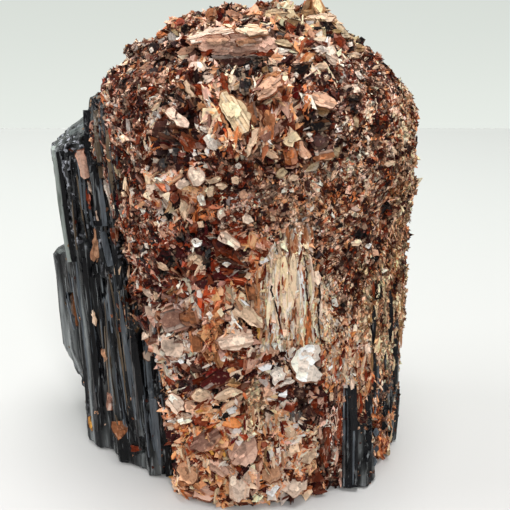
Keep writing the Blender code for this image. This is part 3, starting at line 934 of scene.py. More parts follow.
class Effect:
    """A shader node group that breaks up a colour, with the start and end that all such share."""

    def __init__(self, name: str) -> None:
        """Makes the group, its sockets, and the place squeezed along the crystals.

        Args:
            name: the group's name.
        """
        self.group = bpy.data.node_groups.new(name, "ShaderNodeTree")
        for label, kind, value in GRAIN_INPUTS:
            socket = self.group.interface.new_socket(label, in_out="INPUT", socket_type=kind)
            socket.default_value = value
        for label, kind in GRAIN_OUTPUTS:
            self.group.interface.new_socket(label, in_out="OUTPUT", socket_type=kind)
        self.board = board = Board(self.group)
        self.given = self.group.nodes.new("NodeGroupInput").outputs
        x, y, z = board.place()
        squeezed = board.math("MULTIPLY", z, self.given["Stretch"])
        self.place = board.add("CombineXYZ", x=x, y=y, z=squeezed).outputs[0]

    def blend(self, colour: Socket, share: Socket, amount: str, other: str) -> Socket:
        """Blends one of the group's other colours into a colour, by a share and an input amount."""
        strength = self.board.math("MULTIPLY", share, self.given[amount])
        return self.board.blend(strength, colour, self.given[other])

    def close(self, colour: Socket, mask: Socket, height: Socket) -> bpy.types.NodeTree:
        """Leads the results out of the group.

        Args:
            colour: the colour.
            mask: where its dark parts lie.
            height: the relief.

        Returns:
            The node group.
        """
        bump = self.board.add(
            "Bump", strength=self.given["Relief"], distance=BUMP_DISTANCE, height=height
        )
        end = self.group.nodes.new("NodeGroupOutput")
        for label, value in (("Colour", colour), ("Mask", mask), ("Normal", bump.outputs[0])):
            self.board.feed(end.inputs[label], value)
        return self.group


def cell_group() -> bpy.types.NodeTree:
    """Makes the group that breaks a colour into tiny crystal cells, some dark and some pale, with
    painted shade along the cracks between them.

    Returns:
        A node group with a colour, a mask of its dark parts and a normal.
    """
    effect = Effect("mineral_cells")
    board, given = effect.board, effect.given
    scale = given["Scale"]
    bend = board.add("TexNoise", vector=effect.place, scale=scale, detail=2.0, roughness=0.6)
    bent = bend.outputs["Color"]
    offset = board.add("VectorMath", {"operation": "SCALE"}, vector=bent, scale=0.0006)
    moved = {0: effect.place, 1: offset.outputs[0]}
    place = board.add("VectorMath", {"operation": "ADD"}, moved).outputs[0]
    cells = board.add("TexVoronoi", vector=place, scale=scale)
    edges = board.add("TexVoronoi", {"feature": "DISTANCE_TO_EDGE"}, vector=place, scale=scale)
    chance = board.add("SeparateColor", color=cells.outputs["Color"]).outputs
    low = board.math("SUBTRACT", 1.0, board.ramp(chance[0], 0.24, 0.34))
    # Painted shade: thin dark lines along the edges between cells.
    crack_shade = board.math("SUBTRACT", 1.0, board.ramp(edges.outputs["Distance"], 0.0, 0.12))
    low = board.math("MAXIMUM", low, board.math("MULTIPLY", crack_shade, 0.85))
    colour = effect.blend(given["Colour"], board.ramp(chance[1], 0.66, 0.76), "Flecks", "Pale")
    colour = effect.blend(colour, low, "Darkness", "Dark")
    height = board.math("ADD", board.math("MULTIPLY", chance[2], 0.8), bend.outputs[0])
    return effect.close(colour, low, height)


def streak_group() -> bpy.types.NodeTree:
    """Makes the group that draws fine soft streaks along the crystals.

    Returns:
        A node group with a colour, a mask of its dark parts and a normal.
    """
    effect = Effect("crystal_streaks")
    board, given = effect.board, effect.given
    place, scale = effect.place, given["Scale"]
    value = board.add("TexNoise", vector=place, scale=scale, detail=3.0, roughness=0.62).outputs[0]
    low = board.math("SUBTRACT", 1.0, board.ramp(value, 0.34, 0.52))
    colour = effect.blend(given["Colour"], low, "Darkness", "Dark")
    colour = effect.blend(colour, board.ramp(value, 0.56, 0.70), "Flecks", "Pale")
    return effect.close(colour, low, value)


def start_finish(name: str, **values: float) -> tuple[Material, Board, bpy.types.Node]:
    """Starts a material.

    Args:
        name: its name.
        **values: plain values of its shader, by socket names with underscores.

    Returns:
        The material, a board on it and its shader.
    """
    made = bpy.data.materials.new(name)
    made.use_nodes = True
    shader = made.node_tree.nodes["Principled BSDF"]
    for key, value in values.items():
        shader.inputs[key.replace("_", " ")].default_value = value
    return made, Board(made.node_tree), shader


@dataclass(frozen=True)
class MicaFinish:
    """Finish of mica whose colours are in the mesh."""

    name: str  # the material's name
    roughness: float = 0.45  # of the flat faces
    darkness: float = 0.9  # how strongly the grain's dark parts darken, with painted shade of cracks among them
    flecks: float = 0.55  # how strongly its high parts turn pale
    scale: float = 900.0  # fineness of the grain
    stretch: float = 1.0  # below 1, the grain is drawn out along the crystals
    relief: float = 0.7  # height of the grain
    sheen: float = 0.03  # strength of the pearly coat
    gloss: float = 0.10  # strength of the reflection

    def material(self, cells: bpy.types.NodeTree) -> Material:
        """Builds the material.

        Args:
            cells: the cell group.

        Returns:
            The material.
        """
        made, board, shader = start_finish(
            self.name, Roughness=self.roughness, Coat_Weight=self.sheen, Coat_Roughness=0.2,
            Specular_IOR_Level=self.gloss,
        )
        layer = board.add("Attribute", {"attribute_name": TONE_LAYER}).outputs
        tone, fineness = layer["Color"], layer["Alpha"]
        darkness = board.math("MULTIPLY", fineness, self.darkness)
        flecks = board.math("MULTIPLY", fineness, self.flecks)
        # Dark cells and the painted shade of cracks take this colour.
        dark = board.blend(0.80, tone, DARK_AND_CRACK_SHADE_TINT)
        pale = board.blend(0.62, tone, FLECK_TINT)
        effect = board.add(
            "Group", {"node_tree": cells}, colour=tone, dark=dark, pale=pale, darkness=darkness,
            flecks=flecks, scale=self.scale, stretch=self.stretch, relief=self.relief,
        )
        board.feed(shader.inputs["Base Color"], effect.outputs["Colour"])
        board.feed(shader.inputs["Normal"], effect.outputs["Normal"])
        return made


@dataclass(frozen=True)
class CrystalFinish:
    """Finish of the black crystals. Their colour, with its painted rib highlights, and their pitted
    parts are in the mesh. The finish adds painted highlights on pale streaks, painted glints on
    chips and painted shade in dark grooves.
    """

    name: str = "black_tourmaline"  # the material's name
    roughness: float = 0.2  # of clean crystal
    dullness: float = 0.30  # how much rougher its dark streaks are
    gloss: float = 0.16  # strength of its reflection

    def material(self, streaks: bpy.types.NodeTree, cells: bpy.types.NodeTree) -> Material:
        """Builds the material.

        Args:
            streaks: the streak group.
            cells: the cell group.

        Returns:
            The material.
        """
        made, board, shader = start_finish(self.name, Specular_IOR_Level=self.gloss)
        tone = board.add("Attribute", {"attribute_name": TONE_LAYER}).outputs
        pitted = board.math("SUBTRACT", 1.0, tone["Alpha"])
        # Painted shade in the grooves and pits, and painted highlights on the pale streaks.
        dark = board.blend(0.7, tone["Color"], GROOVE_SHADE_TINT)
        drawn = board.add(
            "Group", {"node_tree": streaks}, colour=tone["Color"], dark=dark, pale=STREAK_HIGHLIGHT_TINT,
            darkness=0.9, flecks=0.65, scale=1100.0, stretch=0.06, relief=1.0,
        ).outputs
        # Painted glints: pale chips on the pitted parts.
        broken = board.add(
            "Group", {"node_tree": cells}, colour=tone["Color"], dark=dark, pale=CHIP_GLINT_TINT,
            darkness=0.95, flecks=0.75, scale=1300.0, stretch=0.8, relief=1.0,
        ).outputs
        colour = board.blend(pitted, drawn["Colour"], broken["Colour"])
        normal = board.blend(pitted, drawn["Normal"], broken["Normal"])
        board.feed(shader.inputs["Base Color"], colour)
        board.feed(shader.inputs["Normal"], normal)
        rough = board.math("MULTIPLY", drawn["Mask"], self.dullness)
        board.feed(shader.inputs["Roughness"], board.math("ADD", rough, self.roughness))
        return made


def refined_copy(node: str, voxel_mm: float, name: str) -> Mesh:
    """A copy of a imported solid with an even, fine mesh.

    Args:
        node: the solid's node.
        voxel_mm: size of the mesh's cells.
        name: the new mesh's name.

    Returns:
        The mesh.
    """
    guide = bpy.data.objects.new(name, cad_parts[node].data.copy())
    bpy.context.scene.collection.objects.link(guide)
    remesh = guide.modifiers.new("even", "REMESH")
    remesh.mode = "VOXEL"
    remesh.voxel_size = voxel_mm * MM
    graph = bpy.context.evaluated_depsgraph_get()
    mesh = bpy.data.meshes.new_from_object(guide.evaluated_get(graph))
    bpy.data.objects.remove(guide)
    mesh.name = name
    return mesh


def points_of(mesh: Mesh) -> Scatter:
    """A mesh's points with their outward directions."""
    points, normals = rows_of(mesh.vertices, "co"), rows_of(mesh.vertex_normals, "vector")
    return Scatter(points.astype(float), normals.astype(float))


def push_points(mesh: Mesh, surface: Scatter, shift: Array) -> None:
    """Moves a mesh's points outward, except those of its flat base.

    Args:
        mesh: the mesh.
        surface: its points.
        shift: how far each moves, in millimetres.
    """
    shift[surface.places[:, 2] < FLAT_BASE_MM * MM] = 0
    moved = surface.places + surface.normals * (shift * MM)[:, None]
    mesh.vertices.foreach_set("co", moved.astype(np.float32).ravel())
    mesh.update()


@dataclass(frozen=True)
class Pit:
    """A hollow in the crystals' front, measured in the picture."""

    column: float  # its middle
    row: float  # its middle
    wide: float  # half its width
    high: float  # half its height
    deep_mm: float  # its depth


PITS = (
    Pit(95, 270, 5, 7, 1.1),
    Pit(93, 340, 4, 9, 1.0),
    Pit(102, 371, 6, 9, 1.0),
    Pit(105, 300, 3, 26, 0.9),
    Pit(82, 196, 4, 6, 0.9),
    Pit(72, 168, 4, 7, 0.9),
    Pit(88, 150, 5, 8, 1.0),
    Pit(66, 215, 4, 8, 0.9),
    Pit(80, 232, 6, 5, 0.9),
)


@dataclass
class CrystalBundle:
    """The black crystals with their fine ribs, pits and broken ledges."""

    voxel_mm: float = 0.72  # size of the mesh's cells
    rib_mm: float = 0.42  # height of the fine ribs
    pit_mm: float = 1.0  # depth of the small pits
    pitted_box: Oval = (56, 132, 102, 246)  # a patch of many pits in the picture
    film_box: Oval = (94, 112, 114, 186)  # a patch under a tan film

    def build(self, finish: Material) -> Piece:
        """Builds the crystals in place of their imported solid.

        Args:
            finish: their material.

        Returns:
            The object.
        """
        mesh = refined_copy(CRYSTAL_NODE, self.voxel_mm, "black_crystals")
        surface = points_of(mesh)
        points, normals = surface.places, surface.normals
        side = np.clip(1.2 - 1.4 * np.abs(normals[:, 2]), 0, 1)
        ribs = lattice_noise(points, (1.3 * MM, 1.3 * MM, 30 * MM), 3)
        ribs += 0.5 * lattice_noise(points, (2.6 * MM, 2.6 * MM, 9 * MM), 4)
        pits = lattice_noise(points, (1.7 * MM, 1.7 * MM, 2.8 * MM), 5)
        pitted = np.clip(lattice_noise(points, 14 * MM, 6) * 2.0 - 0.6, 0, 1)
        pitted = np.maximum(pitted, surface.inside(self.pitted_box, 8))
        shift = self.rib_mm * ribs * side
        shift -= self.pit_mm * pitted * np.clip(pits * 2.0 + 0.1, 0, 1)
        shift -= 0.25 * np.clip(lattice_noise(points, 1.2 * MM, 7) * 2 - 0.9, 0, 1)
        for pit in PITS:
            away = surface.away(pit.column, pit.row, pit.wide, pit.high)
            shift -= pit.deep_mm * np.clip(1.2 - away, 0, 1) * surface.faces_front
        push_points(mesh, surface, shift)
        paint(mesh, np.column_stack([self.film(surface), 1 - pitted]))
        piece = dress(mesh, finish)
        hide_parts(CRYSTAL_NODE)
        return piece

    def film(self, surface: Scatter) -> Array:
        """The crystals' colour: near black, paler grey on faces that look up and in soft patches,
        painted highlights of pale blue-grey along the ribs that are strongest on the far left, and
        a tan film in one patch.
        """
        points, normals = surface.places, surface.normals
        clean = np.array([0.0016, 0.0018, 0.0026])
        grey = np.array([0.085, 0.098, 0.094])
        tan = np.array([0.15, 0.105, 0.068])
        ridge_highlight_grey = np.array([0.22, 0.235, 0.235])
        level = np.clip((np.abs(normals[:, 2]) - 0.45) * 2.2, 0, 1)
        patches = np.clip(lattice_noise(points, (5 * MM, 5 * MM, 9 * MM), 8) * 1.8 - 0.7, 0, 1)
        broken = np.clip(0.45 + 1.3 * lattice_noise(points, 1.9 * MM, 10), 0, 1.2)
        share = np.maximum(level * broken * (normals[:, 2] > 0), patches * 0.25)
        # Painted highlights: pale blue-grey along the upright ribs, stronger on the outer left.
        ridge_highlights = lattice_noise(points, (1.5 * MM, 1.5 * MM, 26 * MM), 3)
        outer = np.clip((points[:, 0] / MM + 32) / -9, 0, 1)
        ridge_highlights = np.clip(ridge_highlights * 2.4 - 0.5 + 0.6 * outer, 0, 1) * (np.abs(normals[:, 2]) < 0.6)
        ridge_highlights *= 0.62 + 0.5 * outer
        colours = clean + np.clip(ridge_highlights, 0, 1)[:, None] * (ridge_highlight_grey - clean)
        colours += np.maximum(share - ridge_highlights, 0)[:, None] * (grey - clean)
        streaks = np.clip(lattice_noise(points, (1.6 * MM, 1.6 * MM, 6 * MM), 9) * 1.5 + 0.2, 0, 1)
        film = surface.inside(self.film_box, 6) * streaks * 0.8
        return colours + film[:, None] * (tan - colours)


@dataclass
class MicaBed:
    """The rough mass of mica below the grains, broken into cells that tilt all ways, darkened as
    painted shade in the gaps between grains.
    """

    voxel_mm: float = 0.70  # size of the mesh's cells
    cells: int = 13000  # how many broken cells it has
    slope: float = 0.38  # how steeply the cells tilt
    shade: float = 0.32  # painted shade: how much darker it is than the grains on it, for the gaps between them

    def build(self, zones: ZoneMap, ground: Ground, finish: Material) -> Piece:
        """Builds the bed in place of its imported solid.

        Args:
            zones: tones and sizes by place.
            ground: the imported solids.
            finish: its material.

        Returns:
            The object.
        """
        rng = np.random.default_rng(SEED + 9)
        mesh = refined_copy(MICA_NODE, self.voxel_mm, "mica_mass")
        surface = points_of(mesh)
        skin = ground.skins[MICA_NODE]
        seeds = Scatter.over(skin, np.ones(len(skin.corners), bool), self.cells, rng)
        chosen = zones.choose(seeds, rng)
        tones = zones.tones(seeds, chosen, rng, 0.6)
        tree = tree_of(seeds.places)
        nearest = np.array([tree.find(place)[1] for place in surface.places])
        tips = rng.normal(0, self.slope, (self.cells, 3))
        offset = surface.places - seeds.places[nearest]
        height = (offset * tips[nearest]).sum(axis=1) / MM
        height = height + rng.normal(0, 0.12, self.cells)[nearest]
        shift = np.clip(height, -0.7, 0.45) - 0.1
        push_points(mesh, surface, shift)
        # Painted shade: points that sink are darker, and the whole bed is tinted redder and
        # darkened by its shade, so that hollows and the gaps between grains look shadowed.
        low = np.clip(0.85 + 0.5 * shift, 0.35, 1.1)[:, None]
        red = np.array([1.0, 0.82, 0.74])
        paint(mesh, np.clip(tones[nearest] * red * self.shade * low, DARKEST, BRIGHTEST))
        piece = dress(mesh, finish)
        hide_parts(MICA_NODE)
        return piece


class Clearing:
    """Places in the picture that larger plates take up, so that small grains keep off them."""

    def __init__(self, spots: Sequence[Oval]) -> None:
        """Keeps the spots.

        Args:
            spots: column, row, half width and half height of each.
        """
        self.spots = np.array(spots, float).reshape(-1, 4)
        self.reaches = np.zeros(0)
        self.tree = KDTree(0)

    def keep_off(self, places: Array, reaches: Array) -> None:
        """Keeps grains off round places too, given by their middles and how far each reaches."""
        self.reaches = reaches
        self.tree = tree_of(places)

    def free(self, scatter: Scatter) -> Array:
        """Which places lie off every spot.

        Args:
            scatter: the places.

        Returns:
            True for each free place.
        """
        free = np.ones(len(scatter.places), bool)
        for spot in self.spots:
            free &= (scatter.away(*spot) > 1) | ~scatter.faces_front
        if len(self.reaches):
            for i, place in enumerate(scatter.places):
                _, nearest, away = self.tree.find(place)
                free[i] &= away > self.reaches[nearest]
        return free


@dataclass
class Growth:
    """The mica's surface with all that decides what grows where on it."""

    bed: Skin
    is_open: Array
    zones: ZoneMap
    keep_clear: Clearing

    def settle(
        self, count: int, spare: float, widths_mm: Pair, wanted: Pair, rng: Rng
    ) -> tuple[Scatter, Array]:
        """Picks free places, more of them in zones where they are wanted.

        Args:
            count: how many places at most.
            spare: how many are tried for each.
            widths_mm: narrow and wide usual grains.
            wanted: the share of places wanted in zones with such grains.
            rng: the source of chance.

        Returns:
            The places and the numbers of their zones.
        """
        scatter = Scatter.over(self.bed, self.is_open, int(count * spare), rng)
        scatter = scatter.pick(self.keep_clear.free(scatter))
        chosen = self.zones.choose(scatter, rng)
        share = np.interp(self.zones.sizes(chosen) / MM, widths_mm, wanted)
        kept = np.flatnonzero(rng.random(len(chosen)) < share)[:count]
        return scatter.pick(kept), chosen[kept]

    def flow(self, scatter: Scatter, loose: float, rng: Rng) -> Array:
        """The ways in which pieces point, alike nearby and more mixed the looser they are."""
        flow = 1.5 * direction_field(scatter.places, 7.0 * MM, 81)
        return flow + loose * rng.normal(size=(len(scatter.places), 3))


@dataclass
class GrainField:
    """Single small grains all over the mica, most of them nearly flush with it."""

    name: str  # the piece's name
    count: int  # how many grains
    seed: int  # picks their places
    scale: float = 0.84  # their size against the zone's usual size
    proud_mm: float = 0.16  # how far they stand out at most
    steep: float = 0.12  # the share of grains that stand steeply
    large: float = 0.12  # the share of large grains
    loose: float = 0.55  # how little neighbours are alike

    def build(self, growth: Growth, finish: Material) -> None:
        """Builds the grains as one piece.

        Args:
            growth: the surface that they sit in, with its zones.
            finish: the grains' material.
        """
        rng = np.random.default_rng(self.seed)
        zones = growth.zones
        scatter, chosen = growth.settle(self.count, 1.9, (1.1, 2.2), (1.0, 0.55), rng)
        count = len(chosen)
        size = zones.sizes(chosen) * self.scale * np.exp(rng.normal(0, 0.34, count))
        upright = zones.uprights(chosen)
        size = np.where(rng.random(count) < self.large, size * 1.5, size * 0.8)
        steep = rng.random(count) < self.steep
        spread = np.where(steep, 0.6, 0.16)
        usual = zones.sizes(chosen)
        fineness = np.interp(usual / MM, (1.1, 1.7), (1.0, 0.3))
        size = np.minimum(size, np.where(steep, 0.9 * MM, np.maximum(1.5 * MM, 1.5 * usual)))
        tilt = np.minimum(np.abs(rng.normal(0, 1, count)) * spread, 1.4)
        swing = direction_field(scatter.places, 3.2 * MM, 84) * rng.uniform(0, 0.35, (count, 1))
        normals = tilted(unit(scatter.normals + swing), tilt, rng)
        flow = growth.flow(scatter, 0.45, rng)
        hints = unit(flow + upright[:, None] * np.array([0, 0, 6.0]))
        width = size * rng.uniform(0.8, 1.2, count) * (1 - 0.30 * upright)
        length = size * rng.uniform(1.0, 1.8, count) * (1 + 0.8 * upright)
        lift = rng.uniform(-0.12, self.proud_mm, count) * MM
        grains = Shards(
            scatter.places + scatter.normals * lift[:, None], frames_from(normals, hints),
            uneven_outlines(width, length, 4, rng), rng.uniform(0.4, 0.8, count) * size,
            np.column_stack([zones.tones(scatter, chosen, rng, self.loose), fineness]),
        )
        dress(grains.mesh(self.name), finish)


@dataclass
class CrystalDust:
    """Small grains of mica stuck on the crystals, thickest beside the mica."""

    name: str = "crystal_dust"  # the piece's name
    tries: int = 26000  # how many places are tried
    fade_mm: float = 1.5  # distance over which they thin out
    specks_box: Oval = (117, 292, 138, 334)  # a patch of more grains in the picture
    seed: int = SEED + 20  # picks their places

    def build(self, crystals: Skin, is_open: Array, mica: Skin, finish: Material) -> None:
        """Builds the grains as one piece.

        Args:
            crystals: the surface that they sit on.
            is_open: which of its triangles are open.
            mica: the mica's surface.
            finish: the grains' material.
        """
        rng = np.random.default_rng(self.seed)
        scatter = Scatter.over(crystals, is_open, self.tries, rng)
        away = np.array([mica.tree.find_nearest(place)[3] for place in scatter.places])
        chance = np.exp(-away / (self.fade_mm * MM)) * 0.75 + 0.012
        film = scatter.inside(CrystalBundle.film_box, 6)
        specks = scatter.inside(self.specks_box, 8)
        chance = np.maximum(chance, np.maximum(film * 0.5, specks * 0.3) * scatter.faces_front)
        scatter = scatter.pick(rng.random(len(chance)) < chance)
        count = len(scatter.places)
        size = 0.75 * MM * np.exp(rng.normal(0, 0.35, count))
        normals = tilted(scatter.normals, np.abs(rng.normal(0, 0.4, count)), rng)
        hints = unit(rng.normal(size=(count, 3)) + np.array([0, 0, 1.5]))
        mix = ZoneMap((Zone(0, 0, 1, 1, Mix.CRYSTAL_DUST),))
        tones = mix.tones(scatter, np.zeros(count, int), rng) * 0.8
        grains = Shards(
            scatter.places + scatter.normals * 0.12 * MM, frames_from(normals, hints),
            uneven_outlines(size, size * rng.uniform(1, 2, count), 5, rng), size * 0.6, tones,
        )
        dress(grains.mesh(self.name), finish)


@dataclass
class BookField:
    """Books of mica: stacks of parallel sheets that lie or stand at all angles, each lower sheet
    darker as painted shade.
    """

    name: str  # the piece's name
    count: int  # how many books
    layers: int  # sheets in each
    seed: int  # picks their places

    def build(self, growth: Growth, finish: Material) -> None:
        """Builds the books as one piece.

        Args:
            growth: the surface that they sit in, with its zones.
            finish: the books' material.
        """
        rng = np.random.default_rng(self.seed)
        zones = growth.zones
        scatter, chosen = growth.settle(self.count, 2.4, (1.0, 2.0), (0.15, 1.0), rng)
        count = len(chosen)
        upright = zones.uprights(chosen)
        usual = zones.sizes(chosen)
        raised = np.interp(usual / MM, (1.2, 2.0), (0.0, 0.35)) * rng.uniform(0, 1, count) * MM
        size = usual * rng.uniform(0.7, 1.5, count)
        swing = direction_field(scatter.places, 4.0 * MM, 84) * rng.uniform(0, 0.25, (count, 1))
        normals = tilted(unit(scatter.normals + swing), np.abs(rng.normal(0, 0.16, count)), rng)
        flow = growth.flow(scatter, 0.4, rng)
        frames = frames_from(normals, unit(flow + upright[:, None] * np.array([0, 0, 5.0])))
        longest = (5.2 - 2.4 * upright) * MM
        length = np.minimum(size * rng.uniform(1.1, 2.1, count) * (1 + upright), longest)
        outline = uneven_outlines(size * (0.85 - 0.3 * upright), length, 5, rng, 0.6)
        tones = zones.tones(scatter, chosen, rng, 0.6)
        growth.keep_clear.keep_off(scatter.places, size * np.where(raised > 0, 0.36, 0.0))
        spacing = rng.uniform(0.16, 0.28, count) * MM
        centres, all_frames, outlines, all_tones = [], [], [], []
        for k in range(self.layers):
            depth = (0.4 - k) * spacing
            drift = rng.normal(0, 0.08, (count, 2)) * size[:, None]
            flat = np.einsum("ni,nij->nj", drift, frames[:, :2])
            centres.append(scatter.places + frames[:, 2] * (depth + raised)[:, None] + flat)
            all_frames.append(frames)
            outlines.append(outline * (rng.uniform(0.86, 1.06, (count, 5, 1)) + 0.07 * k))
            # Painted shade: each lower sheet is darker and redder, for the shade under the sheets
            # above it.
            shade_below = np.array([0.80, 0.64, 0.56]) ** k
            shade = np.exp(rng.normal(0, 0.15, (count, 1)))
            all_tones.append(np.clip(tones * shade_below * shade, DARKEST, BRIGHTEST))
        sheets = Sheets(
            np.concatenate(centres), np.concatenate(all_frames), np.concatenate(outlines),
            np.tile(rng.uniform(0.07, 0.13, count) * MM, self.layers), np.concatenate(all_tones),
        )
        dress(sheets.mesh(self.name), finish)


@dataclass(frozen=True)
class Plate:
    """One large plate on the front, measured in the picture."""

    corners: tuple[Pair, ...]  # its corners as columns and rows, in order
    tone: Tone  # its colour
    lean: float = 0.0  # degrees that its upper edge is tipped towards the viewer
    roll: float = 0.0  # degrees that its right edge is tipped towards the viewer
    lift_mm: float = 0.45  # how far it stands off the surface
    layers: int = 3  # how many flakes lie on it

    @property
    def middle(self) -> Pair:
        """Column and row of the plate's middle."""
        columns, rows = zip(*self.corners)
        return sum(columns) / len(columns), sum(rows) / len(rows)

    def spot(self, share: float) -> Oval:
        """The oval that the plate covers.

        Args:
            share: the oval's size against the plate's.

        Returns:
            Column, row, half width and half height of the oval.
        """
        columns, rows = zip(*self.corners)
        wide = (max(columns) - min(columns)) / 2
        high = (max(rows) - min(rows)) / 2
        middle = (min(columns) + wide, min(rows) + high)
        return (*middle, max(wide * share, 1.2), max(high * share, 1.2))


@dataclass(frozen=True)
class Ribbon:
    """A long narrow blade, edge or crack that follows the surface, measured in the picture."""

    path: tuple[Pair, ...]  # the places it passes, as columns and rows
    tone: Tone  # its colour
    width: float = 3.0  # its width in the picture
    lift_mm: float = 0.5  # how far it stands off the surface
    roll: float = 0.0  # degrees that its right edge is tipped towards the viewer
    thick_mm: float = 0.25  # its thickness
    taper: bool = True  # whether it narrows towards its ends

    def spots(self, share: float) -> list[Oval]:
        """Small ovals along the ribbon, which cover it.

        Args:
            share: their size against the ribbon's width.

        Returns:
            Column, row, half width and half height of each.
        """
        reach = self.width / 2 * share
        found = []
        for (x0, y0), (x1, y1) in zip(self.path, self.path[1:]):
            steps = max(1, int(math.hypot(x1 - x0, y1 - y0) / 4))
            for k in range(steps + 1):
                at = k / steps
                found.append((x0 + (x1 - x0) * at, y0 + (y1 - y0) * at, reach, 3.0))
        return found


def features(kind: type, table: str) -> tuple:
    """Reads plates or ribbons from a table, one to a line.

    A line has the tone, then the values that follow it in the class, as far as they differ from
    the usual ones, then a colon and the places as column,row.

    Args:
        kind: Plate or Ribbon.
        table: the lines.

    Returns:
        The plates or ribbons in order.
    """
    found = []
    for (name, *values), places in lines_of(table):
        path = tuple(tuple(map(value_of, place.split(","))) for place in places)
        found.append(kind(path, Tone[name], *map(value_of, values)))
    return tuple(found)


CREST = features(Plate, """
MOSS -30: 262,18 266,11 272,8 280,9 289,13 284,17 274,18
OLIVE -25: 291,17 296,14 304,10 311,9 315,11 312,16 302,18
OLIVE: 278,19 285,18 296,19 302,21 296,28 292,34 284,25
RUST 20 0 0.7: 284,25 291,24 297,27 293,34 287,31
GREY -10: 300,25 304,20 311,19 318,22 316,26 308,28
CREAM -20: 303,20 312,15 321,13 328,14 336,16 333,21 322,18
CREAM -15 15 0.8: 322,14 330,12 337,16 336,21 328,19
MOSS -20 20: 336,23 342,26 349,33 351,38 346,38 339,33
BROWN: 328,38 334,33 340,34 346,40 350,48 344,53 334,51
RUST 10 -15 0.8: 334,38 340,37 345,44 342,50 336,48
WHITE 0 0 0.9: 348,43 352,42 353,46 349,47
OLIVE -20: 355,46 361,44 366,47 364,52 357,53
CREAM 25: 341,54 350,53 360,54 359,58 348,58
BLACK 20 0 0.2: 320,22 326,21 334,30 331,33 324,30
ORANGE 10: 309,32 316,31 320,34 312,36
RUST -10: 302,41 312,37 318,40 310,45 303,47
TAUPE 0 15: 203,21 206,12 213,8 216,9 215,18 212,25 205,25
WINE 0 -20: 216,24 216,12 220,8 224,11 225,20 222,25
TAUPE -10 -10: 225,20 226,11 232,10 241,14 243,18 234,20
RUST -20: 172,22 178,18 184,20 182,26 174,28
ORANGE -20: 156,33 163,31 168,35 162,38 157,37
GREY 5 -10: 168,35 174,33 180,37 178,43 170,43
BLACK 0 0 0.2: 181,27 186,25 191,27 190,34 184,35
BLACK 0 0 0.2: 147,48 150,43 158,43 161,52 156,58 150,57
WHITE 0 0 0.8: 149,49 152,47 154,51 151,53
PINK 30: 139,68 146,62 152,66 157,68 150,70 143,69
WHITE 0 0 0.8: 176,76 179,75 179,79 176,79
WHITE 0 0 0.8: 140,88 146,87 145,90 141,90
WHITE 10 10: 355,72 359,71 364,78 361,80 357,77
CREAM 10: 368,70 374,66 379,65 380,67 374,72
PEARL -10: 352,86 356,84 360,88 360,92 354,93
PEARL 10: 340,88 347,84 353,86 346,90
BLACK 0 0 0.2: 345,97 352,94 362,96 358,101 348,101
""")

# The BLACK plates here are painted shade in the dark hollows between and under the book's leaves.
TOP_BOOK = features(Plate, """
PLUM 45: 212,56 226,55 246,57 258,56 263,62 246,68 226,66
BLUSH -8 6 0.9 4: 190,43 202,38 216,35 228,35 232,42 228,54 214,56 200,49
BLUSH -4 -5 1.1 4: 229,35 244,33 256,35 262,38 262,50 250,55 236,57 228,52
BLUSH -6 -16 1.0 4: 259,37 266,35 274,38 279,42 274,50 266,54 259,52
PEARL -42 4 1.6 4: 187,39 194,34 205,30 218,28 232,29 238,33 226,35 208,37 192,43
CREAM -35 -6 1.7 4: 234,29 240,25 248,23 257,24 265,28 268,33 258,35 242,34
PINK -14 4 1.5: 206,40 220,38 230,40 224,44 210,45
SAND -12 -4 1.6: 236,40 248,38 257,41 250,46 238,46
PINK -12 10 1.0: 177,52 182,48 196,43 199,47 190,53 180,55
RUST 10 0 1.5: 201,53 210,49 222,47 214,52 204,57
RUST 40 0 1.2: 250,54 262,52 274,53 272,56 258,57
BLACK 30 0 0.6: 252,58 264,57 280,57 276,60 262,60
PEARL -12 5: 193,63 199,61 204,62 209,68 208,75 200,77 194,73
PEARL -5 -10: 198,78 206,75 212,73 214,78 208,83 201,84
SLATE -15: 266,30 272,27 284,32 288,38 276,38 268,35
MOSS -25 0 1.0: 275,41 282,39 288,40 294,45 288,47 280,45
WHITE -20 0 1.0: 272,51 276,47 283,48 291,49 288,52 278,53
PINK -20: 293,63 300,60 309,60 308,63 298,66
BLACK 0 0 0.2: 292,67 300,64 312,62 310,69 302,77 293,76
WHITE 0 0 0.8: 293,75 296,72 299,74 297,78
PEARL 0 0 0.8: 290,79 295,77 295,82 291,84
WHITE -12 0 0.8: 311,48 318,46 322,45 327,51 322,54 316,52
PEARL -8: 323,54 328,52 334,53 339,57 337,61 332,65 328,61
CREAM -10: 314,66 320,63 325,62 328,66 322,70 316,69
CREAM 0 -15: 268,60 272,58 276,61 277,66 273,68 269,64
WHITE -10 0 1.0: 281,58 285,57 288,61 284,63
GREY 0 0 0.7: 245,66 249,64 250,69 246,70
OLIVE 0 0 0.7: 262,68 267,66 268,71 263,73
""")
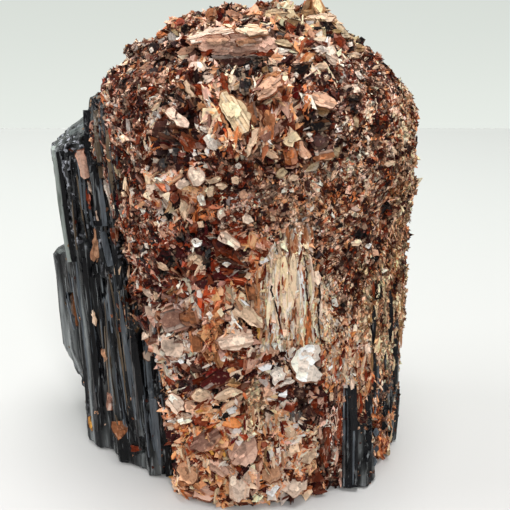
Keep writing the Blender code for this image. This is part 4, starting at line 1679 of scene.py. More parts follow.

# The BLACK plate at 238,76 is painted shade in a dark hollow.
BLADES = features(Plate, """
BLACK 0 0 0.15: 238,76 246,74 253,78 254,88 248,95 240,92
PINK -8 8 0.9 4: 257,88 262,82 270,76 280,74 282,81 276,90 268,96 259,99
AMBER 20 0 1.2: 262,80 266,74 274,71 281,72 276,77 268,80
CREAM 12: 262,104 270,98 280,92 281,96 272,101 264,106
CREAM -10 -18: 228,75 235,74 237,79 234,88 231,94 228,86
RUST 0 15: 219,76 227,75 227,86 230,94 224,90 220,84
CREAM 0 20: 213,82 217,80 219,86 218,93 214,99 211,97 213,90
STRAW -6 8 1.0 4: 222,92 227,91 233,96 241,101 247,108 251,118 248,131 \
 240,137 232,127 225,115 219,105
CREAM -4 -4 1.3 4: 240,131 248,127 256,128 262,127 257,140 251,150 247,157 243,146
TAUPE 0 -20: 247,108 252,104 257,112 258,126 252,128 248,120
TAUPE 0 -15: 246,91 250,89 253,93 254,102 253,115 249,117 247,105
ORANGE 0 15: 214,106 219,106 224,116 223,128 218,122
RUST 0 20: 228,142 233,146 234,158 229,158 226,150
SAND 0 -25 0.9: 258,112 263,118 265,128 262,140 255,150 252,154 256,143 261,128
TAUPE: 264,112 270,110 275,114 275,124 272,135 267,137 265,125
STRAW -15 8: 282,141 287,133 291,130 297,133 301,139 294,142 293,147 288,146
ORANGE -5: 283,150 290,147 296,151 298,160 292,165 285,163
WINE 0 0 0.8: 284,165 293,166 297,166 293,169 286,169
PINK 0 -12: 297,142 303,141 307,150 312,156 305,160 299,154
BLACK 20 0 0.2: 302,128 312,122 324,119 331,124 326,130 306,133
WHITE 0 0 0.8: 306,134 309,132 313,134 310,138
PLUM -15: 312,138 320,134 329,136 328,146 320,150 313,147
MOSS -20 6: 301,168 308,163 320,160 319,166 311,171 305,173
TAUPE -10: 313,158 320,152 332,150 334,156 326,160 316,162
MOSS 0 15: 332,160 333,150 337,144 341,148 338,158
CREAM -20: 260,148 266,149 275,153 278,158 272,159 264,154
WINE: 262,156 270,158 276,162 268,164
PINK -18 -6 0.8 4: 310,95 318,92 326,93 333,98 337,103 334,108 326,107 316,104
WINE 0 0 0.15: 289,86 300,84 301,100 298,110 290,104
CREAM 0 -15: 183,82 186,79 190,84 193,92 196,97 190,96 185,90
RUST 10: 194,86 200,85 208,86 212,90 210,98 203,100 196,94
PLUM 0 -20: 186,99 191,99 196,107 197,114 192,112
AMBER 0 15: 198,102 205,104 210,112 206,116 200,110
OLIVE 10: 310,110 320,108 330,111 326,116 314,115
""")

HOLLOW_PLATES = features(Plate, """
PEARL -12 -22 1.2 4: 165,112 168,108 172,107 178,113 186,118 188,127 182,127 175,121
CREAM 15: 150,111 153,106 158,102 163,100 160,105 155,110
RUST -10: 150,88 156,85 161,90 160,97 153,98
PLUM 18 12 0.2: 155,122 166,118 176,126 180,134 172,144 160,142 152,135
BROWN 15 -12 0.2: 182,131 194,134 204,142 206,150 196,154 184,150 180,142
SLATE: 162,130 167,128 170,134 168,141 163,139
CREAM 10: 174,132 179,130 184,133 181,137 175,137
ORANGE 10 -10: 147,141 153,137 160,140 163,147 158,153 150,153
PLUM -12 8 0.2: 150,160 160,157 172,158 176,166 170,174 160,176 152,170
SLATE 0 0 0.7: 158,161 163,158 168,160 169,166 164,169 159,166
SLATE 10: 170,145 176,142 182,145 183,152 177,156 171,152
WHITE 0 0 0.9: 168,149 173,149 175,152 170,153
PEARL -14 6 0.7: 147,184 155,182 160,186 171,190 167,195 160,197 156,200 149,195
PEARL -6 10 0.7: 160,198 168,197 170,204 176,212 178,217 171,213 164,207
PEARL -10 -6 0.7: 190,167 199,166 204,172 205,180 199,186 193,186 189,178
PEARL -18: 175,184 182,178 189,175 191,182 184,187 177,188
BLACK 0 0 0.2: 160,212 168,209 174,215 171,220 163,219
CREAM 0 15: 178,201 183,196 188,198 190,206 188,215 184,222 180,214
BROWN 5: 171,194 177,192 179,198 174,204 170,200
WHITE -10: 204,150 208,146 213,147 215,153 212,158 206,155
WHITE -10: 199,126 205,126 210,131 206,133 200,130
PEARL 0 -15: 199,114 203,117 208,124 205,125 200,120
WHITE -8 -6 0.8 4: 203,138 210,133 222,131 226,136 228,145 228,152 222,156 213,150 206,143
WHITE 0 8: 197,197 200,194 204,197 205,205 201,206 198,201
CREAM -10: 204,190 210,183 216,183 214,191 208,197
ORANGE -4 0 0.4 2: 192,208 198,205 206,206 214,205 218,212 213,219 205,221 196,219
CREAM: 197,222 203,221 204,227 199,228
CREAM 12: 205,180 213,178 221,178 219,182 210,184
""")

MIDDLE_PLATES = features(Plate, """
PEARL -10 8: 217,214 221,208 225,208 226,215 220,220
PEARL -10: 242,217 246,213 251,216 254,221 248,224 243,222
WHITE: 235,165 239,162 242,166 238,168
CREAM: 231,178 236,176 240,179 238,184 232,183
CREAM 8: 217,185 224,183 228,186 223,190 218,189
PINK: 239,192 244,190 248,194 245,199 240,198
CREAM -8: 288,176 294,173 299,177 295,181 289,180
MOSS -8: 277,172 284,168 288,172 284,178 276,177
CREAM: 268,218 275,217 276,221 269,222
PLUM 0 20: 306,179 310,180 310,192 306,190
GREY 0 -10: 126,118 130,124 131,134 128,132 126,126
MOSS 0 12: 114,162 118,165 120,178 117,176 114,170
CREAM: 119,137 123,134 126,138 122,143
WHITE: 129,190 133,188 135,193 131,197
CREAM: 121,192 124,191 127,196 123,197
WHITE: 140,209 144,207 147,211 143,215
WHITE 0 0 0.8: 144,243 148,244 149,249 145,248
WHITE 0 0 0.8: 141,253 147,250 148,253 142,257
BLACK 0 0 0.3: 142,246 150,248 149,252 142,251
WHITE 0 10: 136,280 139,282 139,289 136,288
PEARL 0 10: 142,288 149,288 153,293 152,300 147,296
CREAM: 153,291 157,290 158,299 154,300
PEARL -6 8: 145,307 152,305 159,306 160,317 155,323 150,318 146,314
PEARL -6: 147,326 154,322 158,329 157,338 149,336 142,340 143,332
PEARL 0 10: 143,353 149,347 156,348 154,357 148,361
PEARL -8 6 0.7 4: 162,338 170,334 180,337 184,344 182,354 176,357 166,356 161,348
CREAM 14: 156,261 162,263 169,270 163,270 158,267
PEARL -10 14 0.8 5: 220,232 226,231 233,238 240,247 236,251 228,245 218,240
WHITE -12: 191,241 197,238 203,240 201,245 194,247
CREAM -6 -6: 188,256 194,251 201,253 204,262 198,267 190,265
CREAM -6: 197,268 202,263 207,266 205,275 199,274 194,276
PINK -8: 182,304 187,297 192,296 191,303 185,307
AMBER -8 10: 208,300 213,291 219,288 221,300 216,305
MOSS -12: 162,317 170,315 175,321 168,326 163,323
CREAM 25: 160,309 168,307 178,308 176,312 166,314
TAUPE -10 -8: 180,314 190,310 203,311 205,322 194,328 183,324
AMBER -6 6: 204,323 212,318 220,321 221,335 214,342 206,336
WHITE: 206,314 210,311 213,316 209,320
AMBER -8 -8: 205,345 214,341 223,348 224,358 214,364 207,354
TAUPE 8 8 0.3: 188,332 198,330 205,336 203,350 192,352
PLUM -8 0 0.3: 189,361 198,359 204,364 202,373 192,372
PEARL -12 6 0.8 4: 216,341 226,330 239,326 252,330 254,342 240,350 222,350
MAUVE -12 -8 0.3: 158,322 166,304 184,299 201,303 204,317 187,331 168,333
CREAM -6 12 0.5: 226,300 232,294 246,303 262,318 262,328 246,322 232,312
SAND 0 15 0.5: 256,302 262,300 266,318 262,330 257,318
PEARL 0 12: 248,358 247,350 252,343 257,346 252,356
WINE -20 6 0.3 5: 210,272 222,262 236,261 246,268 243,277 228,279 214,280
WHITE 0 0 1.1: 222,264 228,262 232,264 227,267
WHITE 0 0 1.1: 215,269 219,267 222,270 218,273
MOSS -6: 225,285 232,283 236,292 233,303 227,300
TAUPE 0 8: 245,284 252,282 257,288 256,300 248,300
AMBER -8 6 0.4 4: 228,300 240,298 252,302 262,306 258,318 244,320 232,314
WINE -6 0 0.4 4: 200,386 208,369 224,362 241,361 237,373 223,385 210,390
CREAM -10 8 0.8: 214,398 226,389 243,384 257,380 255,387 240,393 226,401
PEARL -10 6 0.8: 176,418 186,413 199,410 203,413 196,420 180,425
BROWN 20 0 0.2: 222,362 232,361 242,362 238,367 228,368
AMBER 8: 222,369 230,367 238,368 234,374 225,374
CREAM -14 6 0.8 4: 191,396 196,389 203,385 209,389 211,395 205,400 196,401
OLIVE 8 0 0.2: 222,377 231,375 240,377 239,385 229,386
WINE -8: 212,396 218,393 225,394 224,399 215,401
AMBER -10 12 0.8 5: 200,416 208,411 214,404 222,400 224,404 216,411 208,417 202,420
CREAM -10 14: 222,411 226,404 232,399 240,396 238,402 230,408
PEARL -8 10 0.7: 165,402 168,395 172,393 179,397 184,402 184,410 177,415 171,411
PINK -12: 185,402 190,400 198,403 204,406 202,412 193,414 186,412
CREAM 30: 183,416 192,417 200,414 203,417 194,421 184,420
WHITE: 178,425 180,419 183,419 181,425
AMBER -14: 184,437 190,427 200,424 210,425 204,430 194,434
MAUVE -18 8 0.6: 193,438 203,431 216,428 221,438 213,449 199,452 190,446
PLUM 0 -20: 214,429 219,428 219,438 215,444 213,438
AMBER 0 -10: 221,424 228,428 226,440 222,455 217,450 220,438
BLACK 0 0 0.3: 222,412 228,408 236,407 238,412 234,419 226,418
PEARL -22 0 0.7: 225,425 236,419 250,423 253,434 240,439 229,436
BLUSH -10 -8 0.8: 228,453 234,442 246,434 255,438 257,455 246,467 232,464
BLUSH -10 8 0.6: 206,455 220,450 228,458 234,472 222,477 210,470
WINE 0 0 0.3: 225,452 230,441 240,433 245,431 236,440 230,449
BLACK 0 0 0.3: 184,440 189,437 192,439 190,444 185,443
""")

RIGHT_PLATES = features(Plate, """
WHITE -10 4 0.9 4: 291,362 296,352 303,346 311,345 319,345 321,351 320,359 \
 313,364 319,371 320,378 311,381 302,382 296,378 294,370
WHITE -22 8 1.5: 300,349 308,347 316,349 312,356 303,356
WHITE 0 14: 289,348 294,346 296,349 290,357
TAUPE 0 18 0.3: 288,363 292,366 296,378 294,382 288,376
WHITE -8 8: 272,370 277,367 283,368 286,374 284,380 278,382 275,386 272,382
WHITE -22 0 1.0: 278,386 283,381 291,379 295,381 288,384 281,387
PINK -6: 266,352 270,344 277,352 274,357 267,357
PINK -6: 261,384 268,380 275,386 272,396 263,397
PEARL 0 8: 264,408 270,406 272,414 270,421 265,421
CREAM -10: 285,430 291,427 296,431 293,437 286,437
PLUM -6 0 0.3: 290,384 297,380 305,384 304,398 295,402
SLATE -6: 287,404 294,401 300,405 302,414 298,422 290,420
WHITE 0 0 0.9: 293,410 296,411 295,414
PLUM 0 -8 0.3: 303,404 312,406 315,414 308,420 303,414
CREAM: 329,395 331,391 334,394 333,401 330,401
PINK: 341,393 345,391 346,400 342,402
PEARL 0 -10: 330,352 332,345 337,342 337,348 333,355
PEARL: 365,344 370,343 371,353 366,353
WHITE: 367,404 371,402 374,406 370,409
WHITE -8: 331,320 336,317 342,322 340,326 334,325
PEARL 0 -8: 312,272 318,270 321,276 318,285 313,282
PEARL 0 -8: 318,300 322,300 321,318 318,318
PINK: 372,249 378,250 380,256 373,257
WHITE: 377,272 384,268 389,270 382,274 379,278
CREAM: 350,241 356,239 362,242 358,246 352,246
WHITE: 365,247 368,243 372,244 369,249
BLACK 0 0 0.3: 352,234 358,232 363,235 360,239 353,238
BLACK 0 0 0.3: 372,280 378,277 384,280 383,292 379,300 373,296
ORANGE: 402,226 406,225 408,231 405,236 402,233
ORANGE: 385,174 389,171 393,175 391,180 386,181
ORANGE: 348,193 353,190 357,194 354,198 349,198
CREAM -15: 383,162 389,160 396,161 392,165 385,165
WHITE: 365,137 368,135 371,140 368,142
WHITE: 334,131 338,129 340,132 336,133
WHITE: 343,142 345,140 347,144 343,147
MOSS: 353,119 356,116 359,119 358,126 354,126
""")

FOOT_PLATES = features(Plate, """
PEARL -6 0 0.8: 229,478 236,468 248,468 251,482 249,497 239,503 230,498
BLUSH 0 -12 0.6: 250,466 256,462 260,472 259,490 252,496 250,480
PEARL -10 -6: 281,490 285,476 297,471 308,477 306,490 293,498
SAND -8 6: 262,470 270,462 280,466 280,478 270,484 263,480
CREAM -8: 201,452 206,450 209,456 211,463 207,468 202,466
RUST 0 12: 212,455 217,447 220,452 216,463
WHITE 10: 218,467 224,461 231,461 228,466 220,470
MOSS 12: 222,458 232,455 240,457 236,460 226,461
OLIVE: 250,456 254,454 255,460 251,460
WINE 0 0 0.2: 188,458 194,457 198,460 197,465 190,465
AMBER 0 8: 219,474 224,472 228,478 227,494 221,497 219,488
BLUSH -14: 193,497 197,486 205,480 216,482 220,494 210,501
SAND -14 10: 176,470 184,462 194,466 197,478 188,484 179,480
CREAM -10: 300,462 305,450 313,446 317,455 310,464
CREAM -8 8: 283,446 290,438 299,441 300,452 292,458 285,455
WHITE: 314,451 317,450 319,456 316,458
WINE: 262,488 266,487 267,492 263,493
CREAM: 268,497 272,495 275,498 271,500
TAUPE -14: 179,478 184,475 190,480 189,486 182,487
WHITE: 330,450 333,448 334,451 331,452
""")

PLATES_ON_CRYSTAL = features(Plate, """
BLUSH 0 5 0.45 2: 77,151 84,149 87,160 90,176 84,179 80,170 77,160
WHITE 0 8 0.45 2: 103,180 111,180 113,200 115,216 112,216 109,198 104,190
PEARL 0 0 0.45 1: 87,181 89,182 95,194 93,196
PEARL 0 0 0.45 1: 95,205 97,207 99,221 97,221
RUST 0 5 0.45 1: 87,187 90,195 91,208 88,208 86,196
SAND 0 5 0.45 2: 95,226 99,225 100,240 99,257 94,261 90,256 93,245
BROWN 0 5 0.45 2: 110,229 115,228 118,238 115,245 111,238
TAUPE 0 0 0.45 1: 71,285 76,284 79,300 80,326 76,326 72,305
CREAM 0 0 0.45 2: 90,312 94,308 97,320 96,326 92,322
SAND 0 0 0.45 2: 101,350 105,348 108,358 104,362
MAUVE 0 5 0.45 2: 107,387 114,385 116,396 110,400 112,410 107,410
TAUPE 0 0 0.45 2: 112,422 120,421 128,424 127,432 118,440 113,432
RUST 0 0 0.45 2: 130,446 138,446 141,450 132,452
GOLD 0 0 0.45 2: 88,417 92,415 94,425 92,431 89,426
GOLD 0 0 0.45 2: 168,472 172,469 176,472 176,477 170,478
PEARL 0 0 0.45 2: 350,380 353,379 354,389 351,390
""")

# The BLACK ribbons here are partly painted shade: dark slits and lines between sheets.
EDGES = features(Ribbon, """
RUST 2.8 3.6: 283,262 280,280 276,300 279,320 284,342
ORANGE 5.0 3.4: 306,302 309,318 306,344
AMBER 4.0 2.6: 263,268 261,290 263,312
BROWN 1.8 3.6: 306,262 303,276 298,296
CREAM 2.2 1.0: 147,176 157,181 167,187 177,191
AMBER 2.6 0.8: 152,164 160,172 170,180 180,187
BROWN 1.6 0.7: 150,172 158,177 168,183 176,188
CREAM 2.0 0.8: 141,132 147,124 153,115
PINK 1.8 0.9: 146,134 152,126 160,116
BLACK 3.4 0.4: 149,120 157,110 168,101 180,97
PLUM 3.4 0.4: 180,97 188,104 194,114 196,126
CREAM 2.6 1.0: 143,140 146,148 144,156 146,166 147,176
CREAM 1.8 1.1: 149,137 151,144 149,152
ORANGE 3.6 0.9: 186,160 194,156 206,157
AMBER 3.0 1.0: 184,165 195,162 206,161
ORANGE 2.4 0.8: 186,170 196,168 204,165
CREAM 1.6 1.0: 183,157 194,152 204,154
ORANGE 3.6 0.9: 180,187 188,193 196,201 203,207
CREAM 1.8 1.0: 186,188 194,193 200,197
CREAM 2.6 0.9: 325,63 331,73 337,88
AMBER 4.6 1.0: 283,58 284,70 284,80 287,89
ORANGE 3.2 0.9: 288,60 289,72 288,84
ORANGE 5.0 0.9: 305,85 306,98 306,110 307,119
AMBER 2.2 1.0: 309,88 310,100 309,112
AMBER 3.6 0.9: 223,117 230,131 236,150
RUST 3.0 0.8: 220,122 226,134 231,150
BLACK 3.0 0.8: 237,136 240,146 242,157
PINK 3.2 0.9: 290,112 288,122 280,135
AMBER 3.2 0.8: 284,114 281,124 276,133
RUST 2.4 0.8: 294,110 292,120 285,131
PEARL 2.4 0.9: 284,106 283,114
PEARL 2.0 0.9: 253,78 256,84 255,93
PEARL 1.6 0.9: 228,24 240,20 252,18 262,20
BLACK 2.4 0.7: 230,27 242,23 256,21 268,24 280,30
PINK 2.2 1.1: 252,18 264,18 276,17 290,20
CREAM 1.4 1.0: 262,23 272,26 284,32
BLACK 2.4 0.9: 268,21 278,24 286,30
PEARL 1.6 1.1: 275,55 286,54 298,56 312,58
CREAM 1.8 1.1: 281,51 290,51 299,53
BLACK 1.8 0.9: 284,53 296,54 308,57
PEARL 1.6 1.1: 296,58 308,57 318,56 323,52
WHITE 1.6 1.0: 312,38 318,34 321,33
WHITE 1.8 1.0: 297,32 303,29 308,28
BLACK 2.2: 318,54 326,62 334,74
PEARL 1.8 0.9: 302,80 312,72 322,66
GREY 1.8 0.9: 303,130 314,126 326,125
TAUPE 1.8 0.9: 305,135 316,130 328,131
GREY 1.6 0.9: 130,72 136,70 141,68
BROWN 2.6 0.7: 191,396 198,389 206,380
PEARL 1.4 0.9: 204,372 213,370 222,375
BLACK 2.6 0.6: 211,308 220,306 228,308
BLACK 2.0 0.8: 223,278 233,285 245,293
PINK 1.6 0.9: 226,277 236,284 247,291
PEARL 1.6 1.0: 226,280 236,279 248,279
BLACK 1.8 0.6: 157,263 166,268 178,274
PINK 1.6 0.8: 162,281 172,278 184,279
CREAM 1.6 0.8: 182,314 192,307 204,305
BLACK 2.4 0.4: 186,268 196,267 203,265
GOLD 1.8 0.9: 186,434 196,429 208,426 219,428
PINK 1.2 1.0: 204,431 204,440 199,447
RUST 1.8 0.9: 208,405 214,412 222,406
CREAM 4.4 1.1: 199,421 210,417 222,407 236,400 246,394
PINK 3.0 0.8: 184,446 192,452 200,455
AMBER 3.0 0.8: 186,470 200,471 214,469 222,463
OLIVE 2.0 0.8: 220,458 232,457 246,455 256,452
CREAM 1.8 0.9: 222,464 234,460 248,458
GOLD 2.4 0.8: 236,468 244,464 250,462
BLACK 3.2 0.7: 317,419 318,436 317,455 319,478
BLACK 2.6 0.7: 341,346 341,366 342,386
BLACK 4.0 0.7: 372,345 374,358 373,372 373,388 371,402
BLACK 4.6 0.7: 374,308 373,318 372,330
BLACK 4.6 0.7: 391,292 391,302 389,314 391,326 390,339
BLACK 5.0 0.7: 375,394 380,400 381,407
MOSS 3.4 0.8: 384,300 384,315 385,330
GOLD 2.6 0.8: 396,262 393,276 391,291
OLIVE 3.4 0.7: 403,285 401,310 401,338
MOSS 3.0 0.6: 391,428 390,442 388,454
BLACK 2.6 0.4: 416,137 416,145 415,152
WINE 4.0 0.6: 117,186 119,205 121,224
RUST 3.6: 108,118 109,132 112,150
WINE 3.4 0.7: 190,222 190,234 191,246
WINE 4.4 0.7: 207,222 206,236 209,250
RUST 2.0 1.0: 240,306 246,310 250,317
BLACK 1.8 4.4: 278,262 274,276 271,290 276,306 280,324 284,343
BLACK 1.5 4.4: 304,256 307,272 306,288 309,306
BROWN 1.5 4.4: 312,284 309,302 308,322 305,342
BROWN 1.2 4.4: 290,248 288,262 292,280
BROWN 1.2 4.4: 293,308 296,324 295,340
BROWN 1.2 4.2: 264,272 262,292 265,312
BLACK 1.8 3.8: 319,276 320,296 318,318 321,340
""")

# Its grey rods are painted highlights on the crystals' ribs.
RODS = features(Ribbon, """
ASH 5 0.6 0 1.0 even: 53,142 57,170 60,200 65,232 70,262
JET 4 0.4 0 1.0 even: 58,152 62,180 65,205 69,235 74,262
JET 8 0.8 10 1.2 even: 87,110 89,150 95,182 100,226
JET 8 0.6 0 1.2 even: 95,94 97,110
BARK 7 0.7 0 1.2 even: 97,110 98,140 103,178
JET 3 1.0 0 0.8: 101,96 102,116 105,137
BARK 5 0.6 0 0.8: 107,130 109,155 113,190
STEEL 5 0.7 -10 1.0 even: 99,185 103,205 105,226
JET 4 0.8 0 0.8: 114,188 116,202 118,218
STEEL 6 0.8 -10 1.0 even: 103,232 107,250 111,266
JET 5 0.8 0 1.0 even: 112,236 116,262 120,290
STEEL 3 0.5 0 0.8: 76,262 80,300 86,350 92,400
JET 4 0.7 0 1.0 even: 84,258 88,300 95,352 101,408
STEEL 4 0.6 0 1.0: 120,300 125,340 131,386 136,420
JET 6 0.8 0 1.2: 131,318 135,350 141,395 146,440
STEEL 7 0.7 0 1.4: 146,336 150,375 155,420 160,465
JET 9 0.9 0 1.6 even: 154,350 158,390 164,430 171,476
JET 15 0.8 0 1.6 even: 349,386 350,430 350,487
STEEL 2.4 1.2 0 0.6: 344,388 344,430 344,486
STEEL 2.0 1.2 0 0.6: 353,390 354,430 353,485
JET 7 0.8 0 1.2: 369,396 369,425 367,462
JET 4.4 0.8 0 1.0: 374,306 374,325 373,345
JET 4 0.8 0 1.0: 374,352 375,372 375,392
JET 4.6 0.8 0 1.0: 390,290 391,315 390,341
JET 9 0.8 0 1.2: 384,384 384,404 383,430
STEEL 6 0.8 0 1.2: 376,428 376,446 374,466
""")


class PlatePlane:
    """The plane of one plate, with its corners along and across its length."""

    def __init__(self, ring: Array, out: Array) -> None:
        """Finds the plate's length and keeps its corners.

        Args:
            ring: its corners in metres, all in one plane.
            out: the plane's outward direction.
        """
        self.middle = ring.mean(axis=0)
        self.out = out
        spread = ring - self.middle
        _, _, axes = np.linalg.svd(spread - np.outer(spread @ out, out), full_matrices=False)
        self.along = axes[0]
        self.across = np.cross(out, self.along)
        self.corners = np.stack([spread @ self.along, spread @ self.across], axis=1)
        edges = np.roll(self.corners, -1, axis=0)
        turn = (self.corners[:, 0] * edges[:, 1] - self.corners[:, 1] * edges[:, 0]).sum()
        if turn < 0:
            self.corners = self.corners[::-1]

    def slimness(self) -> float:
        """The plate's length against its width."""
        return float(np.ptp(self.corners[:, 0]) / max(np.ptp(self.corners[:, 1]), 1e-6))

    def lift(self, corners: Array, height: float) -> Array:
        """Puts corners, given along and across the plate, back in space at a height over it."""
        flat = corners[:, :1] * self.along + corners[:, 1:] * self.across
        return self.middle + flat + self.out * height

    def strips(self, rng: Rng, usual: float, folded: bool) -> list[Array]:
        """Splits the plate along its length.

        Args:
            rng: the source of chance.
            usual: the usual width of a strip in metres.
            folded: whether the strips meet at folds, with no gaps.

        Returns:
            Each strip's corners along and across the plate.
        """
        low, high = self.corners[:, 1].min(), self.corners[:, 1].max()
        found = []
        while low < high - 0.1 * MM:
            wide = usual * rng.uniform(0.6, 1.5)
            strip = cut(cut(self.corners, low, 1), low + wide * (1.03 if folded else 0.95), -1)
            low += wide
            wide_enough = len(strip) > 2 and np.ptp(strip[:, 0]) > 0.2 * MM
            if wide_enough and np.ptp(strip[:, 1]) > 0.05 * MM:
                strip = strip.copy()
                strip[:, 0] += rng.normal(0, 0.03 if folded else 0.12) * MM
                found.append(strip)
        return found


def cut(corners: Array, level: float, side: int) -> Array:
    """The part of a flat shape on one side of a line across it.

    Args:
        corners: the shape's corners.
        level: the line's place across the shape.
        side: 1 to keep what lies past the line, -1 to keep what lies before it.

    Returns:
        The corners of what is kept.
    """
    found = []
    for start, end in zip(corners, np.roll(corners, -1, axis=0)):
        first, last = (start[1] - level) * side, (end[1] - level) * side
        if first >= 0:
            found.append(start)
        if first * last < 0:
            found.append(start + (end - start) * (first / (first - last)))
    return np.array(found) if found else np.empty((0, 2))


@dataclass
class PlacedSet:
    """Features that were measured one by one, built as one piece."""

    name: str  # the piece's name
    placed: Sequence[Plate | Ribbon]  # the plates or ribbons
    seed: int = SEED + 12  # picks how they split
    slot: str = "mica"  # the name of a colour slot; nothing reads it
    ground: Ground = field(init=False)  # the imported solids
    rng: Rng = field(init=False)  # the source of chance
    parts: MeshParts = field(init=False)  # the shapes so far

    def build(self, ground: Ground, finish: Material) -> None:
        """Builds them as one piece.

        Args:
            ground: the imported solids.
            finish: their material.
        """
        self.ground, self.parts = ground, MeshParts()
        self.rng = np.random.default_rng(self.seed)
        for feature in self.placed:
            self.add(feature)
        dress(self.parts.mesh(self.name), finish)


@dataclass
class PlateSet(PlacedSet):
    """The large plates of the front, each split along its length, with a darker sheet under it as
    painted shade round its edges.
    """

    strip_mm: float = 0.62  # usual width of a split strip
    tip: float = 0.7  # how much of its measured lean and roll each plate takes
    sunk_mm: float = 0.15  # how far the plates are sunk into the grains round them
    shade: float = 0.82  # their brightness against their tones
    # tones that a strip may tend to
    veins: tuple[Tone, ...] = tones("BROWN TAUPE CREAM AMBER WHITE")
    pale_spread: float = 0.2  # how unlike each other a pale plate's strips are
    dark_spread: float = 0.32  # the same for a dark plate
    flake_spread: float = 0.28  # the same for the flakes on a plate
    split_mm: float = 0.3  # thickness of a strip
    flake_mm: float = 0.25  # thickness of a flake
    under_mm: float = 0.2  # thickness of the sheet under each plate
    under_depth_mm: float = 0.42  # how deep that sheet lies
    under_shade_tint: Triple = (0.34, 0.20, 0.15)  # painted shade: its colour against the plate's
    slim: float = 1.45  # plates this much longer than wide are split, and others are folded
    fold_width: float = 2.6  # width of a folded strip against a split one

    def add(self, plate: Plate) -> None:
        """Adds the sheets of one plate.

        Args:
            plate: the plate.
        """
        seat = self.ground.near(*plate.middle)
        if seat is None:
            LOG.warning("no surface at %.0f, %.0f", *plate.middle)
            return
        flat = self.plane(plate, *seat[:2])
        # Painted shade: a darker sheet below the plate and a little larger than it makes a dark rim
        # round it.
        under = flat.corners * 1.05 + self.rng.normal(0, 0.12 * MM, 2)
        shade_tone = plate.tone.linear * np.array(self.under_shade_tint)
        self.add_sheet(flat, flat.lift(under, -self.under_depth_mm * MM), self.under_mm, shade_tone)
        self.add_strips(plate, flat)
        self.add_flakes(plate, flat)

    def plane(self, plate: Plate, place: Vector, normal: Vector) -> PlatePlane:
        """Finds how one plate lies in space.

        Args:
            plate: the plate.
            place: the surface's point behind its middle.
            normal: the surface's outward direction there.

        Returns:
            The plate's plane.
        """
        towards = (VIEW.eye - place).normalized()
        facing = (normal.normalized() * 0.8 + towards).normalized()
        right, _, _ = VIEW.axes()
        across = (right - facing * right.dot(facing)).normalized()
        rise = facing.cross(across).normalized()
        lean, roll = math.radians(plate.lean) * self.tip, math.radians(plate.roll) * self.tip
        outward = facing - rise * math.tan(lean) - across * math.tan(roll)
        outward.normalize()
        base = place + towards * (plate.lift_mm - self.sunk_mm) * MM
        ring = []
        for column, row in ragged(plate.corners, self.rng):
            ray = VIEW.ray(column, row)
            along = (base - VIEW.eye).dot(outward) / ray.dot(outward)
            ring.append(VIEW.eye + ray * along)
        return PlatePlane(np.array(ring), np.array(outward))

    def add_strips(self, plate: Plate, flat: PlatePlane) -> None:
        """Adds the strips that one plate is split or folded into.

        Args:
            plate: the plate.
            flat: its plane.
        """
        rng = self.rng
        pale = plate.tone.brightness > Tone.SAND.brightness
        spread = self.pale_spread if pale else self.dark_spread
        folded = flat.slimness() < self.slim
        bend, uneven, vein = (0.34, 0.04, 0.12) if folded else (0.13, 0.10, 0.38)
        wide = self.strip_mm * MM * (self.fold_width if folded else 1.0)
        for strip in flat.strips(rng, wide, folded):
            depth = rng.normal(0, uneven) * MM
            rise_by = rng.normal(0, bend) * MM
            lean_over = (strip[:, 1] - strip[:, 1].mean()) / max(np.ptp(strip[:, 1]), 1e-6)
            top = flat.lift(strip, depth) + flat.out * (lean_over * rise_by)[:, None]
            other = self.veins[rng.integers(len(self.veins))].linear
            tone = plate.tone.linear + (other - plate.tone.linear) * rng.uniform(0, vein)
            tone = tone * self.shade * math.exp(rng.normal(0, spread))
            self.add_sheet(flat, top, self.split_mm, tone)

    def add_flakes(self, plate: Plate, flat: PlatePlane) -> None:
        """Adds the smaller flakes that lie on one plate.

        Args:
            plate: the plate.
            flat: its plane.
        """
        rng = self.rng
        for k in range(plate.layers + 1):
            share = rng.uniform(0.3, 0.6)
            towards_edge = flat.corners[rng.integers(len(flat.corners))] * (1 - share)
            flake = flat.corners * share * rng.uniform(0.7, 1.0, 2)
            flake = flake + towards_edge * rng.uniform(0.3, 1.05)
            height = (0.06 + 0.07 * k) * MM + flake @ rng.normal(0, 0.07, 2)
            top = flat.lift(flake, 0.0) + flat.out * height[:, None]
            tone = plate.tone.linear * self.shade * math.exp(rng.normal(0, self.flake_spread))
            self.add_sheet(flat, top, self.flake_mm, tone)

    def add_sheet(self, flat: PlatePlane, top: Array, thick_mm: float, tone: Array) -> None:
        """Adds one sheet.

        Args:
            flat: the plane that it's parallel to.
            top: its upper corners in space.
            thick_mm: its thickness.
            tone: its linear colour.
        """
        bottom = top - flat.out * thick_mm * MM
        self.parts.add_slab(top, bottom, np.clip(tone, SHEET_DARKEST, BRIGHTEST))


def ragged(corners: Sequence[Pair], rng: Rng) -> list[Pair]:
    """An outline with small steps and nicks between its corners.

    Args:
        corners: the corners in order.
        rng: the source of chance.

    Returns:
        More corners, close to the first outline.
    """
    found = []
    for (x0, y0), (x1, y1) in zip(corners, (*corners[1:], corners[0])):
        length = math.hypot(x1 - x0, y1 - y0)
        steps = max(1, round(length / 4.2))
        for k in range(steps):
            share = k / steps
            swing = rng.normal(0, 1.15) if k else 0.0
            x = x0 + (x1 - x0) * share - (y1 - y0) / max(length, 1e-6) * swing
            y = y0 + (y1 - y0) * share + (x1 - x0) / max(length, 1e-6) * swing
            found.append((x, y))
    return found


